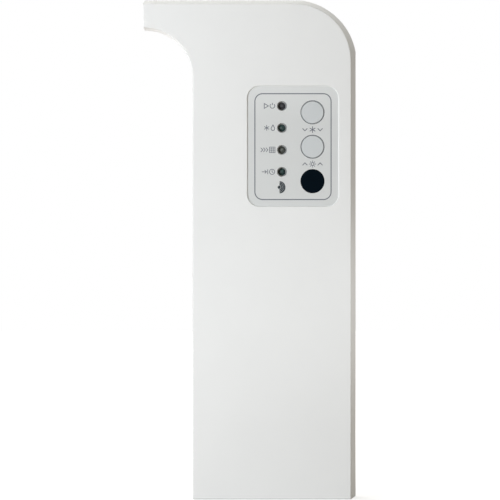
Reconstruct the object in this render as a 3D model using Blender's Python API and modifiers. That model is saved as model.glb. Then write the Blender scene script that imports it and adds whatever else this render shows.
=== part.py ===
"""Control end cover of a split heat pump's indoor unit, in metres, +Z up, with its face toward -Y.

Everything is drawn in the cover's own frame: x runs right from the left edge of the face, y runs back
from the face, and z runs up from the bottom edge. One empty moves that frame to the middle of the part.
"""

import math

import bmesh
import bpy
from mathutils import Matrix

# Clearances shared by pieces that meet
SEAT_GAP = 0.0003
SLIDE_GAP = 0.00025
LEAD_GAP = 0.0002

# End cover: moulded shell, open at the back, its top and right walls flaring toward the rim
FACE_WIDTH = 0.0915
FACE_HEIGHT = 0.2865
ARM_LENGTH = 0.0286
ARM_HEIGHT = 0.0138
CORNER_RADIUS = 0.0329
COVER_DEPTH = 0.028
COVER_WALL = 0.0025
TOP_FLARE = 0.0039
SIDE_FLARE = 0.0035
CORNER_FLARE = 0.0041
EDGE_ROUND = 0.0005
CURVE_STEPS = 18

# Ribs, fixing posts and latch windows inside the cover
RIB_THICKNESS = 0.0016
RIB_HEIGHT = 0.008
CROSS_RIBS = 3
POST_RADIUS = 0.0038
POST_HOLE_RADIUS = 0.0014
POST_HOLE_DEPTH = 0.014
POST_INSET = 0.0125
POST_SETBACK = 0.0005
LATCH_HEIGHT = 0.012
LATCH_DEPTH = 0.005
LATCH_FROM_RIM = 0.004
LATCHES = 2

# Control recess and the pad that stiffens it from behind
RECESS_WIDTH = 0.0533
RECESS_HEIGHT = 0.0702
RECESS_SIDE_MARGIN = 0.0069
RECESS_TOP_MARGIN = 0.0473
RECESS_CORNER = 0.0073
RECESS_SLOPE = 0.0009
FLOOR_THICKNESS = 0.002
PAD_MARGIN = 0.002
PAD_STEP = 0.0004

# Overlay sheet in the recess
OVERLAY_THICKNESS = 0.0005
OVERLAY_SINK = 0.0007
OVERLAY_GAP = 0.0001

# Indicator lamps: 5 mm LEDs on an inch-based pitch
LAMP_NAMES = ("run_led", "defrost_led", "filter_led", "timer_led")
LAMP_PITCH = 0.0127
LAMP_COLUMN = -0.0064
LAMP_TOP = 0.0233
LED_RADIUS = 0.0025
LED_HOLE_GAP = 0.0004
LAMP_HOLE_TAPER = 0.0007
LED_LENGTH = 0.0087
LED_FLANGE_WIDTH = 0.0004
LED_FLANGE_THICKNESS = 0.001
LEAD_PITCH = 0.00254
LEAD_WIDTH = 0.0005
LEAD_TAIL = 0.0015

# Push-buttons
BUTTON_COLUMN = 0.0113
BUTTON_ROW = -0.0003
BUTTON_PITCH = 0.0199
BUTTON_RADIUS = 0.00645
BUTTON_TOP_THICKNESS = 0.0014
BUTTON_WALL = 0.0012
BUTTON_ROUND = 0.0002
BUTTON_FLANGE_WIDTH = 0.00115
BUTTON_FLANGE_THICKNESS = 0.0012
BUTTON_STEM_RADIUS = 0.0019
BUTTON_STEM_LENGTH = 0.0005
BUTTON_TRAVEL = 0.0006
KEY_WIDTH = 0.002
KEY_LENGTH = 0.0012
GUIDE_WALL = 0.0013
GUIDE_LENGTH = 0.0035

# Receiver window and infrared receiver
WINDOW_RADIUS = 0.0069
WINDOW_GAP = 0.0001
WINDOW_FACE_THICKNESS = 0.002
WINDOW_WALL = 0.001
WINDOW_FLANGE_WIDTH = 0.0013
WINDOW_FLANGE_THICKNESS = 0.0012
RECEIVER_WIDTH = 0.006
RECEIVER_LENGTH = 0.0066
RECEIVER_THICKNESS = 0.003
RECEIVER_LENS_RADIUS = 0.0021
RECEIVER_LEAD_REACH = 0.0012

# Tactile switches under the buttons
SWITCH_WIDTH = 0.006
SWITCH_HEIGHT = 0.0034
PLUNGER_RADIUS = 0.0017
PLUNGER_RISE = 0.0025
PLUNGER_DEPTH = 0.001
LEG_WIDTH = 0.0007
LEG_THICKNESS = 0.0003
LEG_PITCH = 0.0045
LEG_RISE = 0.0012

# Light shield between the recess floor and the lamps
SHIELD_THICKNESS = 0.0012
SHIELD_STEP = 0.0001
SHIELD_TUBE_WALL = 0.0009
SHIELD_MARGIN = 0.0012
SHIELD_BRIDGE = 0.007

# Circuit board, its posts and its screws
BOARD_WIDTH = 0.048
BOARD_HEIGHT = 0.066
BOARD_THICKNESS = 0.0016
BOARD_CORNER = 0.001
BOARD_HOLE_INSET = 0.0035
BOARD_POST_WALL = 0.0018
SCREW_RADIUS = 0.0011
SCREW_LENGTH = 0.006
SCREW_POINT = 0.001
SCREW_HEAD_RADIUS = 0.0025
SCREW_HEAD_HEIGHT = 0.0017
SCREW_SLOT_WIDTH = 0.0006
SCREW_SLOT_DEPTH = 0.0009
SCREW_GAP = 0.00015

# Wire header on the rear of the board
HEADER_PINS = 5
PIN_PITCH = 0.0025
PIN_WIDTH = 0.00064
PIN_GAP = 0.00006
HEADER_END = 0.00245
HEADER_WIDTH = 0.0058
HEADER_HEIGHT = 0.007
HEADER_WALL = 0.0009
HEADER_FLOOR = 0.002
HEADER_NOTCH = 0.0015
HEADER_COLUMN = -0.005
HEADER_ROW = -0.0255

# Driver chip, buzzer, capacitor and lamp resistors on the rear of the board
CHIP_LENGTH = 0.0087
CHIP_WIDTH = 0.0039
CHIP_HEIGHT = 0.0015
CHIP_PINS = 7
CHIP_PIN_PITCH = 0.00117
CHIP_PIN_WIDTH = 0.0004
CHIP_PIN_REACH = 0.0011
CHIP_PIN_THICKNESS = 0.0002
CHIP_COLUMN = -0.0165
CHIP_ROW = -0.0125
BUZZER_RADIUS = 0.006
BUZZER_HEIGHT = 0.0065
BUZZER_HOLE_RADIUS = 0.001
BUZZER_HOLE_DEPTH = 0.0012
BUZZER_LEAD_PITCH = 0.0065
BUZZER_COLUMN = -0.016
BUZZER_ROW = 0.014
CAPACITOR_RADIUS = 0.00315
CAPACITOR_HEIGHT = 0.0075
CAPACITOR_GROOVE = 0.0004
CAPACITOR_COLUMN = -0.0165
CAPACITOR_ROW = -0.0005
RESISTOR_LENGTH = 0.0032
RESISTOR_WIDTH = 0.0016
RESISTOR_HEIGHT = 0.0006
RESISTOR_OFFSET = 0.0042

# Depths behind the face, worked out from the pieces stacked there
OVERLAY_BACK = OVERLAY_SINK + OVERLAY_THICKNESS
FLOOR_FRONT = OVERLAY_BACK + SEAT_GAP
FLOOR_BACK = FLOOR_FRONT + FLOOR_THICKNESS
PAD_BACK = FLOOR_BACK + PAD_STEP
FLANGE_FRONT = FLOOR_BACK + SEAT_GAP
BUTTON_FLANGE_BACK = FLANGE_FRONT + BUTTON_FLANGE_THICKNESS
WINDOW_FLANGE_BACK = FLANGE_FRONT + WINDOW_FLANGE_THICKNESS
STEM_END = BUTTON_FLANGE_BACK + BUTTON_STEM_LENGTH
PLUNGER_FRONT = STEM_END + SEAT_GAP
SWITCH_FRONT = PLUNGER_FRONT + PLUNGER_RISE
SWITCH_SEAT = SWITCH_FRONT + SWITCH_HEIGHT
BOARD_FRONT = SWITCH_SEAT + SEAT_GAP
BOARD_BACK = BOARD_FRONT + BOARD_THICKNESS
FRONT_SEAT = BOARD_FRONT - SEAT_GAP
REAR_SEAT = BOARD_BACK + SEAT_GAP
SHIELD_BACK = FRONT_SEAT - LED_FLANGE_THICKNESS - SEAT_GAP
POST_ROOT = min(COVER_WALL, FLOOR_BACK) - SEAT_GAP

# Places on the face, worked out from the cover and the recess
ARCH_FOOT = FACE_HEIGHT - ARM_HEIGHT - ARM_LENGTH
RECESS_X = FACE_WIDTH - RECESS_SIDE_MARGIN - RECESS_WIDTH / 2
RECESS_Z = FACE_HEIGHT - RECESS_TOP_MARGIN - RECESS_HEIGHT / 2
LAMP_X = RECESS_X + LAMP_COLUMN
LAMP_Z = [RECESS_Z + LAMP_TOP - place * LAMP_PITCH for place in range(len(LAMP_NAMES))]
BUTTON_X = RECESS_X + BUTTON_COLUMN
HEAT_Z = RECESS_Z + BUTTON_ROW
COOL_Z = HEAT_Z + BUTTON_PITCH
WINDOW_Z = HEAT_Z - BUTTON_PITCH
BUTTON_HOLE_RADIUS = BUTTON_RADIUS + SLIDE_GAP
BUTTON_FLANGE_RADIUS = BUTTON_RADIUS + BUTTON_FLANGE_WIDTH
GUIDE_BORE_RADIUS = BUTTON_FLANGE_RADIUS + SLIDE_GAP
GUIDE_RADIUS = GUIDE_BORE_RADIUS + GUIDE_WALL
LAMP_HOLE_RADIUS = LED_RADIUS + LED_HOLE_GAP
WINDOW_FLANGE_RADIUS = WINDOW_RADIUS + WINDOW_FLANGE_WIDTH
WINDOW_BORE_RADIUS = WINDOW_RADIUS - WINDOW_WALL
BOARD_SCREW_X = BOARD_WIDTH / 2 - BOARD_HOLE_INSET
BOARD_SCREW_Z = BOARD_HEIGHT / 2 - BOARD_HOLE_INSET
SCREW_HOLE_RADIUS = SCREW_RADIUS + SCREW_GAP

# Turns that point a piece's own +Z at the face or at the back
TO_FACE = (math.radians(90), 0, 0)
TO_REAR = (math.radians(90), 0, math.radians(180))


# Scene, collections and the empty that carries the whole part
for leftover in list(bpy.data.objects):
    bpy.data.objects.remove(leftover, do_unlink=True)

parts = bpy.data.collections.new("control_end_cover")
cutters = bpy.data.collections.new("cutters")
bpy.context.scene.collection.children.link(parts)
bpy.context.scene.collection.children.link(cutters)

frame = bpy.data.objects.new("cover_frame", None)
parts.objects.link(frame)
frame.location = ((ARM_LENGTH - FACE_WIDTH - SIDE_FLARE) / 2, -COVER_DEPTH / 2, 0)


def add_piece(name, data, colour, roughness, x=0, y=0, z=0, turn=(0, 0, 0), metallic=0.0):
    """Add one finished piece of the part, with its own material."""
    piece = bpy.data.objects.new(name, data)
    parts.objects.link(piece)
    piece.parent = frame
    piece.location = (x, y, z)
    piece.rotation_euler = turn
    material = bpy.data.materials.new(name)
    material.use_nodes = True
    shader = material.node_tree.nodes["Principled BSDF"]
    shader.inputs["Base Color"].default_value = (*colour, 1)
    shader.inputs["Roughness"].default_value = roughness
    shader.inputs["Metallic"].default_value = metallic
    data.materials.append(material)
    return piece


def add_tool(piece, data, x=0, y=0, z=0, turn=(0, 0, 0)):
    """Add a hidden solid, in the piece's own frame, for its Boolean modifiers."""
    tool = bpy.data.objects.new(data.name, data)
    cutters.objects.link(tool)
    tool.parent = piece
    tool.location = (x, y, z)
    tool.rotation_euler = turn
    tool.hide_render = True
    tool.display_type = "WIRE"
    return tool


def combine(piece, tool, operation, solver="EXACT"):
    """Join a tool to a piece, cut it out of the piece, or keep what both share."""
    modifier = piece.modifiers.new(tool.name, "BOOLEAN")
    modifier.solver = solver
    modifier.operation = operation
    modifier.object = tool
    return piece


def shape_cover(data, operation):
    """Join a solid to the end cover or cut it out, with the solver that keeps so many joins closed."""
    return combine(end_cover, add_tool(end_cover, data), operation, "MANIFOLD")


def arc(centre_x, centre_z, radius, start, end, steps):
    """Points along an arc, angles in degrees from +x toward +z."""
    points = []
    for step in range(steps + 1):
        angle = math.radians(start + (end - start) * step / steps)
        points.append((centre_x + radius * math.cos(angle), centre_z + radius * math.sin(angle)))
    return points


def circle(centre_x, centre_z, radius, steps):
    """Points once around a circle."""
    return arc(centre_x, centre_z, radius, 0, 360, steps)[:-1]


def rounded_box_outline(centre_x, centre_z, width, height, radius, steps):
    """Points around a rectangle with round corners."""
    half_x = width / 2 - radius
    half_z = height / 2 - radius
    points = []
    for quarter, (side_x, side_z) in enumerate(((1, 1), (-1, 1), (-1, -1), (1, -1))):
        corner_x = centre_x + side_x * half_x
        corner_z = centre_z + side_z * half_z
        points += arc(corner_x, corner_z, radius, 90 * quarter, 90 * quarter + 90, steps)
    return points


def new_mesh(name, work):
    """Turn finished bmesh work into a mesh with its faces pointing out and its round sides smooth."""
    bmesh.ops.recalc_face_normals(work, faces=work.faces[:])
    mesh = bpy.data.meshes.new(name)
    work.to_mesh(mesh)
    work.free()
    mesh.shade_smooth()
    mesh.set_sharp_from_angle(angle=math.radians(30))
    return mesh


def loft(name, sections, front_round=0.0):
    """Solid between outlines of equal point count, each given with its depth behind the face."""
    work = bmesh.new()
    rings = []
    for depth, outline in sections:
        rings.append([work.verts.new((x, depth, z)) for x, z in outline])
    for ring, next_ring in zip(rings, rings[1:]):
        for place in range(len(ring)):
            after = (place + 1) % len(ring)
            work.faces.new((ring[place], ring[after], next_ring[after], next_ring[place]))
    face = work.faces.new(rings[0])
    work.faces.new(rings[-1])
    bmesh.ops.recalc_face_normals(work, faces=work.faces[:])
    if front_round:
        bmesh.ops.bevel(work, geom=face.edges[:], offset=front_round, segments=2, profile=0.5,
                        affect="EDGES", clamp_overlap=True)
    bmesh.ops.triangulate(work, faces=[wall for wall in work.faces if len(wall.verts) == 4])
    return new_mesh(name, work)


def cylinders(name, spots, radius, front, back, steps):
    """Equal cylinders lying along y between two depths."""
    work = bmesh.new()
    for x, z in spots:
        placing = Matrix.Translation((x, (front + back) / 2, z)) @ Matrix.Rotation(math.radians(90), 4, "X")
        bmesh.ops.create_cone(work, cap_ends=True, segments=steps, radius1=radius, radius2=radius,
                              depth=back - front, matrix=placing)
    return new_mesh(name, work)


def boxes(name, spans):
    """Boxes, each given as its x, y and z spans."""
    work = bmesh.new()
    for x_span, y_span, z_span in spans:
        middle = [sum(span) / 2 for span in (x_span, y_span, z_span)]
        sides = [span[1] - span[0] for span in (x_span, y_span, z_span)]
        placing = Matrix.Translation(middle) @ Matrix.Diagonal((*sides, 1))
        bmesh.ops.create_cube(work, size=1, matrix=placing)
    return new_mesh(name, work)


def turned(piece, steps):
    """Spin a piece's profile about its own z axis."""
    spin = piece.modifiers.new("turned", "SCREW")
    spin.axis = "Z"
    spin.angle = math.radians(360)
    spin.steps = steps
    spin.render_steps = steps
    spin.use_merge_vertices = True
    spin.merge_threshold = 0.00001
    return piece


def profile(name, points, closed=False):
    """Mesh of edges through (radius, height) points, from the top centre down the outside."""
    edges = [(place, place + 1) for place in range(len(points) - 1)]
    if closed:
        edges.append((len(points) - 1, 0))
    mesh = bpy.data.meshes.new(name)
    mesh.from_pydata([(radius, 0, height) for radius, height in points], edges, [])
    return mesh


def plate(name, thickness, outline, holes):
    """Flat sheet with holes, drawn in its own x and y and extruded both ways from its middle."""
    curve = bpy.data.curves.new(name, "CURVE")
    curve.dimensions = "2D"
    curve.fill_mode = "BOTH"
    curve.extrude = thickness / 2
    for loop in (outline, *holes):
        spline = curve.splines.new("POLY")
        spline.points.add(len(loop) - 1)
        for point, (x, y) in zip(spline.points, loop):
            point.co = (x, y, 0, 1)
        spline.use_cyclic_u = True
    return curve


def welded(curve):
    """Mesh of a plate, its caps joined to its edges, so that Booleans can work on it."""
    holder = bpy.data.objects.new(curve.name, curve)
    mesh = bpy.data.meshes.new_from_object(holder)
    bpy.data.objects.remove(holder)
    work = bmesh.new()
    work.from_mesh(mesh)
    bmesh.ops.remove_doubles(work, verts=work.verts[:], dist=0.000001)
    work.to_mesh(mesh)
    work.free()
    return mesh


def cover_outline(depth, inset):
    """Outline of the cover at a depth behind the face, moved inward by an inset."""
    share = depth / COVER_DEPTH
    top = TOP_FLARE * share - inset
    side = SIDE_FLARE * share - inset
    corner = CORNER_FLARE * share - inset
    corner_radius = CORNER_RADIUS + corner
    top_clip = math.degrees(math.acos(min(1, (CORNER_RADIUS + top) / corner_radius)))
    side_clip = math.degrees(math.acos(min(1, (CORNER_RADIUS + side) / corner_radius)))
    arch_radius = ARM_LENGTH + inset
    arch_end = math.degrees(math.acos(inset / arch_radius))
    points = [(inset, inset)]
    points += arc(-ARM_LENGTH, ARCH_FOOT, arch_radius, 0, arch_end, CURVE_STEPS)
    points.append((inset - ARM_LENGTH, FACE_HEIGHT + top))
    points += arc(FACE_WIDTH - CORNER_RADIUS, FACE_HEIGHT - CORNER_RADIUS, corner_radius,
                  90 - top_clip, side_clip, CURVE_STEPS)
    points.append((FACE_WIDTH + side, inset))
    return points


# End cover: shell
outside = [(0, cover_outline(0, 0)), (COVER_DEPTH, cover_outline(COVER_DEPTH, 0))]
end_cover = add_piece("end_cover", loft("end_cover", outside, EDGE_ROUND), (0.82, 0.83, 0.82), 0.45)
past_rim = COVER_DEPTH * 1.2
inside = [(COVER_WALL, cover_outline(COVER_WALL, COVER_WALL)),
          (past_rim, cover_outline(past_rim, COVER_WALL))]
shape_cover(loft("cover_hollow", inside), "DIFFERENCE")

# End cover: pad behind the recess, button guides, board posts and fixing posts
pad = [(depth, rounded_box_outline(RECESS_X, RECESS_Z, RECESS_WIDTH + 2 * PAD_MARGIN,
                                   RECESS_HEIGHT + 2 * PAD_MARGIN, RECESS_CORNER + PAD_MARGIN, 4))
       for depth in (POST_ROOT - SEAT_GAP, PAD_BACK)]
shape_cover(loft("recess_pad", pad), "UNION")

button_places = {"cool": COOL_Z, "heat": HEAT_Z}
guide_end = FLOOR_BACK + GUIDE_LENGTH
for side, place_z in button_places.items():
    guide = cylinders(side + "_guide", [(BUTTON_X, place_z)], GUIDE_RADIUS, POST_ROOT, guide_end, 32)
    shape_cover(guide, "UNION")

board_spots = [(RECESS_X + across * BOARD_SCREW_X, RECESS_Z + up * BOARD_SCREW_Z)
               for across, up in ((-1, -1), (1, -1), (-1, 1), (1, 1))]
board_posts = cylinders("board_posts", board_spots, SCREW_HOLE_RADIUS + BOARD_POST_WALL,
                        POST_ROOT, FRONT_SEAT, 14)
shape_cover(board_posts, "UNION")

arm_post = (-ARM_LENGTH + COVER_WALL + 1.6 * POST_RADIUS, FACE_HEIGHT - ARM_HEIGHT / 2)
top_post = (FACE_WIDTH - CORNER_RADIUS / 2 - POST_RADIUS, FACE_HEIGHT - CORNER_RADIUS / 2)
left_post = (POST_INSET, POST_INSET)
right_post = (FACE_WIDTH - POST_INSET, POST_INSET)
fixing_spots = [arm_post, top_post, left_post, right_post]
post_end = COVER_DEPTH - POST_SETBACK
fixing_posts = cylinders("fixing_posts", fixing_spots, POST_RADIUS, POST_ROOT, post_end, 14)
shape_cover(fixing_posts, "UNION")

# End cover: ribs, trimmed to the middle of the walls that they meet
rib_span = (COVER_WALL - SEAT_GAP, COVER_WALL + RIB_HEIGHT)
wide_span = (-ARM_LENGTH, FACE_WIDTH + SIDE_FLARE)
pad_foot = RECESS_Z - RECESS_HEIGHT / 2 - PAD_MARGIN
pad_head = RECESS_Z + RECESS_HEIGHT / 2 + PAD_MARGIN
rib_rows = [pad_foot * (row + 1) / (CROSS_RIBS + 1) for row in range(CROSS_RIBS)]
rib_rows.append((pad_head + FACE_HEIGHT - CORNER_RADIUS / 2 - POST_RADIUS) / 2)
half_rib = RIB_THICKNESS / 2
cross_spans = [(wide_span, rib_span, (row - half_rib, row + half_rib)) for row in rib_rows]
upright_span = (FACE_WIDTH / 2 - half_rib, FACE_WIDTH / 2 + half_rib)
upright_spans = [(upright_span, rib_span, (0, pad_foot + PAD_MARGIN))]
limit = [(depth, cover_outline(depth, COVER_WALL / 2)) for depth in (COVER_WALL / 2, COVER_DEPTH)]
rib_limit = add_tool(end_cover, loft("rib_limit", limit))
for name, spans in (("cross_ribs", cross_spans), ("upright_rib", upright_spans)):
    rib = add_tool(end_cover, boxes(name, spans))
    combine(rib, rib_limit, "INTERSECT")
    combine(end_cover, rib, "UNION", "MANIFOLD")

# End cover: control recess with sloping sides
recess_outlines = []
for depth in (-FLOOR_FRONT, FLOOR_FRONT):
    spread = RECESS_SLOPE * (1 - depth / FLOOR_FRONT)
    recess_outlines.append((depth, rounded_box_outline(
        RECESS_X, RECESS_Z, RECESS_WIDTH - 2 * RECESS_SLOPE + 2 * spread,
        RECESS_HEIGHT - 2 * RECESS_SLOPE + 2 * spread, RECESS_CORNER - RECESS_SLOPE + spread, 6)))
shape_cover(loft("control_recess", recess_outlines), "DIFFERENCE")

# End cover: guide bores, key slots, button holes and their seats
key_slot_reach = GUIDE_RADIUS + KEY_LENGTH
key_slot_half = KEY_WIDTH / 2 + SLIDE_GAP
for side, place_z in button_places.items():
    spot = [(BUTTON_X, place_z)]
    bore = cylinders(side + "_guide_bore", spot, GUIDE_BORE_RADIUS, FLOOR_BACK, guide_end + PAD_STEP, 32)
    shape_cover(bore, "DIFFERENCE")
    slot = boxes(side + "_key_slot", [((BUTTON_X - key_slot_reach, BUTTON_X + key_slot_reach),
                                       (FLOOR_BACK + PAD_STEP / 4, guide_end + PAD_STEP),
                                       (place_z - key_slot_half, place_z + key_slot_half))])
    shape_cover(slot, "DIFFERENCE")
    hole = cylinders(side + "_button_hole", spot, BUTTON_HOLE_RADIUS, 0, FLOOR_BACK + PAD_STEP, 32)
    shape_cover(hole, "DIFFERENCE")

# End cover: window seat and hole, tapered lamp holes, screw holes and latch windows
window_spot = [(BUTTON_X, WINDOW_Z)]
window_seat = cylinders("window_seat", window_spot, WINDOW_FLANGE_RADIUS + SEAT_GAP,
                        FLOOR_BACK, PAD_BACK + PAD_STEP, 32)
shape_cover(window_seat, "DIFFERENCE")
window_hole = cylinders("window_hole", window_spot, WINDOW_RADIUS + SEAT_GAP, 0, PAD_BACK, 32)
shape_cover(window_hole, "DIFFERENCE")
lamp_hole_slope = LAMP_HOLE_TAPER / (PAD_BACK - FLOOR_FRONT)
for name, place_z in zip(LAMP_NAMES, LAMP_Z):
    cone = [(depth, circle(LAMP_X, place_z, LAMP_HOLE_RADIUS - lamp_hole_slope * (depth - FLOOR_FRONT), 20))
            for depth in (0, PAD_BACK + PAD_STEP)]
    shape_cover(loft(name + "_hole", cone), "DIFFERENCE")

screw_tip = REAR_SEAT - SCREW_LENGTH
board_screw_holes = cylinders("board_screw_holes", board_spots, SCREW_HOLE_RADIUS,
                              screw_tip - SEAT_GAP, FRONT_SEAT + SEAT_GAP, 12)
shape_cover(board_screw_holes, "DIFFERENCE")
fixing_holes = cylinders("fixing_holes", fixing_spots, POST_HOLE_RADIUS,
                         post_end - POST_HOLE_DEPTH, post_end + POST_SETBACK, 12)
shape_cover(fixing_holes, "DIFFERENCE")
latch_back = COVER_DEPTH - LATCH_FROM_RIM
latch_rows = [ARCH_FOOT * (2 * row + 1) / (2 * LATCHES) for row in range(LATCHES)]
latches = boxes("latch_windows", [((-COVER_WALL, 2 * COVER_WALL), (latch_back - LATCH_DEPTH, latch_back),
                                   (row - LATCH_HEIGHT / 2, row + LATCH_HEIGHT / 2)) for row in latch_rows])
shape_cover(latches, "DIFFERENCE")

# Overlay sheet: lies on the recess floor, with a hole for every lamp, button and the window
overlay_trim = 2 * (RECESS_SLOPE * OVERLAY_BACK / FLOOR_FRONT + OVERLAY_GAP)
overlay_outline = rounded_box_outline(0, 0, RECESS_WIDTH - overlay_trim, RECESS_HEIGHT - overlay_trim,
                                      RECESS_CORNER - overlay_trim / 2, 6)
overlay_holes = [circle(LAMP_COLUMN, place_z - RECESS_Z, LAMP_HOLE_RADIUS, 20) for place_z in LAMP_Z]
for place_z in button_places.values():
    overlay_holes.append(circle(BUTTON_COLUMN, place_z - RECESS_Z, BUTTON_HOLE_RADIUS, 32))
overlay_holes.append(circle(BUTTON_COLUMN, WINDOW_Z - RECESS_Z, WINDOW_RADIUS + WINDOW_GAP, 32))
overlay_sheet = plate("overlay_sheet", OVERLAY_THICKNESS, overlay_outline, overlay_holes)
add_piece("overlay_sheet", overlay_sheet, (0.62, 0.64, 0.64), 0.5,
          RECESS_X, OVERLAY_SINK + OVERLAY_THICKNESS / 2, RECESS_Z, TO_FACE)

# Buttons: hollow keycaps whose flange and two keys run in the guide behind the floor
flange_top = OVERLAY_SINK - FLANGE_FRONT
flange_bottom = OVERLAY_SINK - BUTTON_FLANGE_BACK
stem_bottom = OVERLAY_SINK - STEM_END
button_bore = BUTTON_RADIUS - BUTTON_WALL
button_profile = [
    (0, 0), (BUTTON_RADIUS - BUTTON_ROUND, 0), (BUTTON_RADIUS, -BUTTON_ROUND),
    (BUTTON_RADIUS, flange_top), (BUTTON_FLANGE_RADIUS, flange_top),
    (BUTTON_FLANGE_RADIUS, flange_bottom), (button_bore, flange_bottom),
    (button_bore, -BUTTON_TOP_THICKNESS), (BUTTON_STEM_RADIUS, -BUTTON_TOP_THICKNESS),
    (BUTTON_STEM_RADIUS, stem_bottom), (0, stem_bottom)]
key_inner = BUTTON_FLANGE_RADIUS - BUTTON_FLANGE_WIDTH / 2
key_outer = BUTTON_FLANGE_RADIUS + KEY_LENGTH
key_trim = BUTTON_FLANGE_THICKNESS / 10
key_span = (flange_bottom + key_trim, flange_top - key_trim)
for side, place_z in button_places.items():
    button = add_piece(side + "_button", profile(side + "_button", button_profile), (0.56, 0.59, 0.6), 0.4,
                       BUTTON_X, OVERLAY_SINK, place_z, TO_FACE)
    turned(button, 32)
    keys = boxes(side + "_keys", [((key_inner, key_outer), (-KEY_WIDTH / 2, KEY_WIDTH / 2), key_span),
                                  ((-key_outer, -key_inner), (-KEY_WIDTH / 2, KEY_WIDTH / 2), key_span)])
    combine(button, add_tool(button, keys), "UNION")

# Receiver window: smoked lens with a flange that seats behind the floor
window_flange_bottom = OVERLAY_SINK - WINDOW_FLANGE_BACK
window_profile = [
    (0, 0), (WINDOW_RADIUS, 0), (WINDOW_RADIUS, flange_top), (WINDOW_FLANGE_RADIUS, flange_top),
    (WINDOW_FLANGE_RADIUS, window_flange_bottom), (WINDOW_BORE_RADIUS, window_flange_bottom),
    (WINDOW_BORE_RADIUS, -WINDOW_FACE_THICKNESS), (0, -WINDOW_FACE_THICKNESS)]
receiver_window = add_piece("receiver_window", profile("receiver_window", window_profile),
                            (0.004, 0.006, 0.008), 0.2, BUTTON_X, OVERLAY_SINK, WINDOW_Z, TO_FACE)
turned(receiver_window, 32)

# Light shield: one plate with a tube round each lamp and one behind the window
tube_bore = LED_RADIUS + LED_HOLE_GAP
tube_radius = tube_bore + SHIELD_TUBE_WALL
window_tube_radius = WINDOW_BORE_RADIUS + SHIELD_TUBE_WALL
bar_half = tube_radius + SHIELD_MARGIN
bar_top = LAMP_Z[0] - RECESS_Z + bar_half
bridge_z = WINDOW_Z - RECESS_Z
bar_foot = min(LAMP_Z[-1] - RECESS_Z - bar_half, bridge_z - SHIELD_BRIDGE / 2)
bridge_end = BUTTON_COLUMN - LAMP_COLUMN - WINDOW_BORE_RADIUS - SHIELD_TUBE_WALL / 2
lamp_rings = [circle(0, place_z - RECESS_Z, tube_bore + SHIELD_TUBE_WALL / 2, 20) for place_z in LAMP_Z]
bar_outline = [(-bar_half, bar_foot), (bridge_end, bar_foot), (bridge_end, bar_foot + SHIELD_BRIDGE),
               (bar_half, bar_foot + SHIELD_BRIDGE), (bar_half, bar_top), (-bar_half, bar_top)]
shield_plate = welded(plate("light_shield", SHIELD_THICKNESS, bar_outline, lamp_rings))
shield_plate.transform(Matrix.Translation((0, 0, SHIELD_STEP + SHIELD_THICKNESS / 2)))
light_shield = add_piece("light_shield", shield_plate, (0.01, 0.01, 0.011), 0.6,
                         LAMP_X, SHIELD_BACK, RECESS_Z, TO_FACE)
lamp_tube_top = SHIELD_BACK - PAD_BACK - SEAT_GAP
window_tube_top = SHIELD_BACK - WINDOW_FLANGE_BACK - SEAT_GAP
tubes = [("lamp_tube_%d" % (place + 1), 0, place_z - RECESS_Z, tube_bore, tube_radius, lamp_tube_top, 20)
         for place, place_z in enumerate(LAMP_Z)]
tubes.append(("window_tube", BUTTON_COLUMN - LAMP_COLUMN, bridge_z, WINDOW_BORE_RADIUS,
              window_tube_radius, window_tube_top, 32))
for name, tube_x, tube_y, inner, outer, top, steps in tubes:
    wall = [(outer, top), (outer, 0), (inner, 0), (inner, top)]
    tube = add_tool(light_shield, profile(name, wall, closed=True), tube_x, tube_y)
    turned(tube, steps)
    combine(light_shield, tube, "UNION")

# Circuit board: holes are gathered while its parts are placed, and the board itself is made last
board_holes = [circle(across * BOARD_SCREW_X, up * BOARD_SCREW_Z, SCREW_RADIUS + SEAT_GAP, 12)
               for across, up in ((-1, -1), (1, -1), (-1, 1), (1, 1))]
tail_end = -SEAT_GAP - BOARD_THICKNESS - LEAD_TAIL
lead_hole = LEAD_WIDTH / math.sqrt(2) + LEAD_GAP
half_lead = LEAD_WIDTH / 2


def lead_spans(spots, top):
    """Spans of straight square leads, from a height inside the body to below the board."""
    return [((x - half_lead, x + half_lead), (y - half_lead, y + half_lead), (tail_end, top))
            for x, y in spots]


# Lamps: domed bodies with a flange on the board and two leads through it
dome = [(LED_RADIUS * math.sin(math.radians(angle)),
         LED_LENGTH - LED_RADIUS * (1 - math.cos(math.radians(angle)))) for angle in range(0, 91, 15)]
led_flange_radius = LED_RADIUS + LED_FLANGE_WIDTH
led_profile = dome + [(LED_RADIUS, LED_FLANGE_THICKNESS), (led_flange_radius, LED_FLANGE_THICKNESS),
                      (led_flange_radius, 0), (0, 0)]
led_leads = [(-LEAD_PITCH / 2, 0), (LEAD_PITCH / 2, 0)]
led_colours = ((0.055, 0.045, 0.05), (0.04, 0.08, 0.07), (0.085, 0.08, 0.065), (0.04, 0.08, 0.07))
for name, place_z, colour in zip(LAMP_NAMES, LAMP_Z, led_colours):
    lamp = add_piece(name, profile(name, led_profile), colour, 0.3, LAMP_X, FRONT_SEAT, place_z, TO_FACE)
    turned(lamp, 16)
    leads = boxes(name + "_leads", lead_spans(led_leads, LED_FLANGE_THICKNESS / 2))
    combine(lamp, add_tool(lamp, leads), "UNION")
    board_holes += [circle(LAMP_COLUMN + x, place_z - RECESS_Z, lead_hole, 6) for x, y in led_leads]

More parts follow.
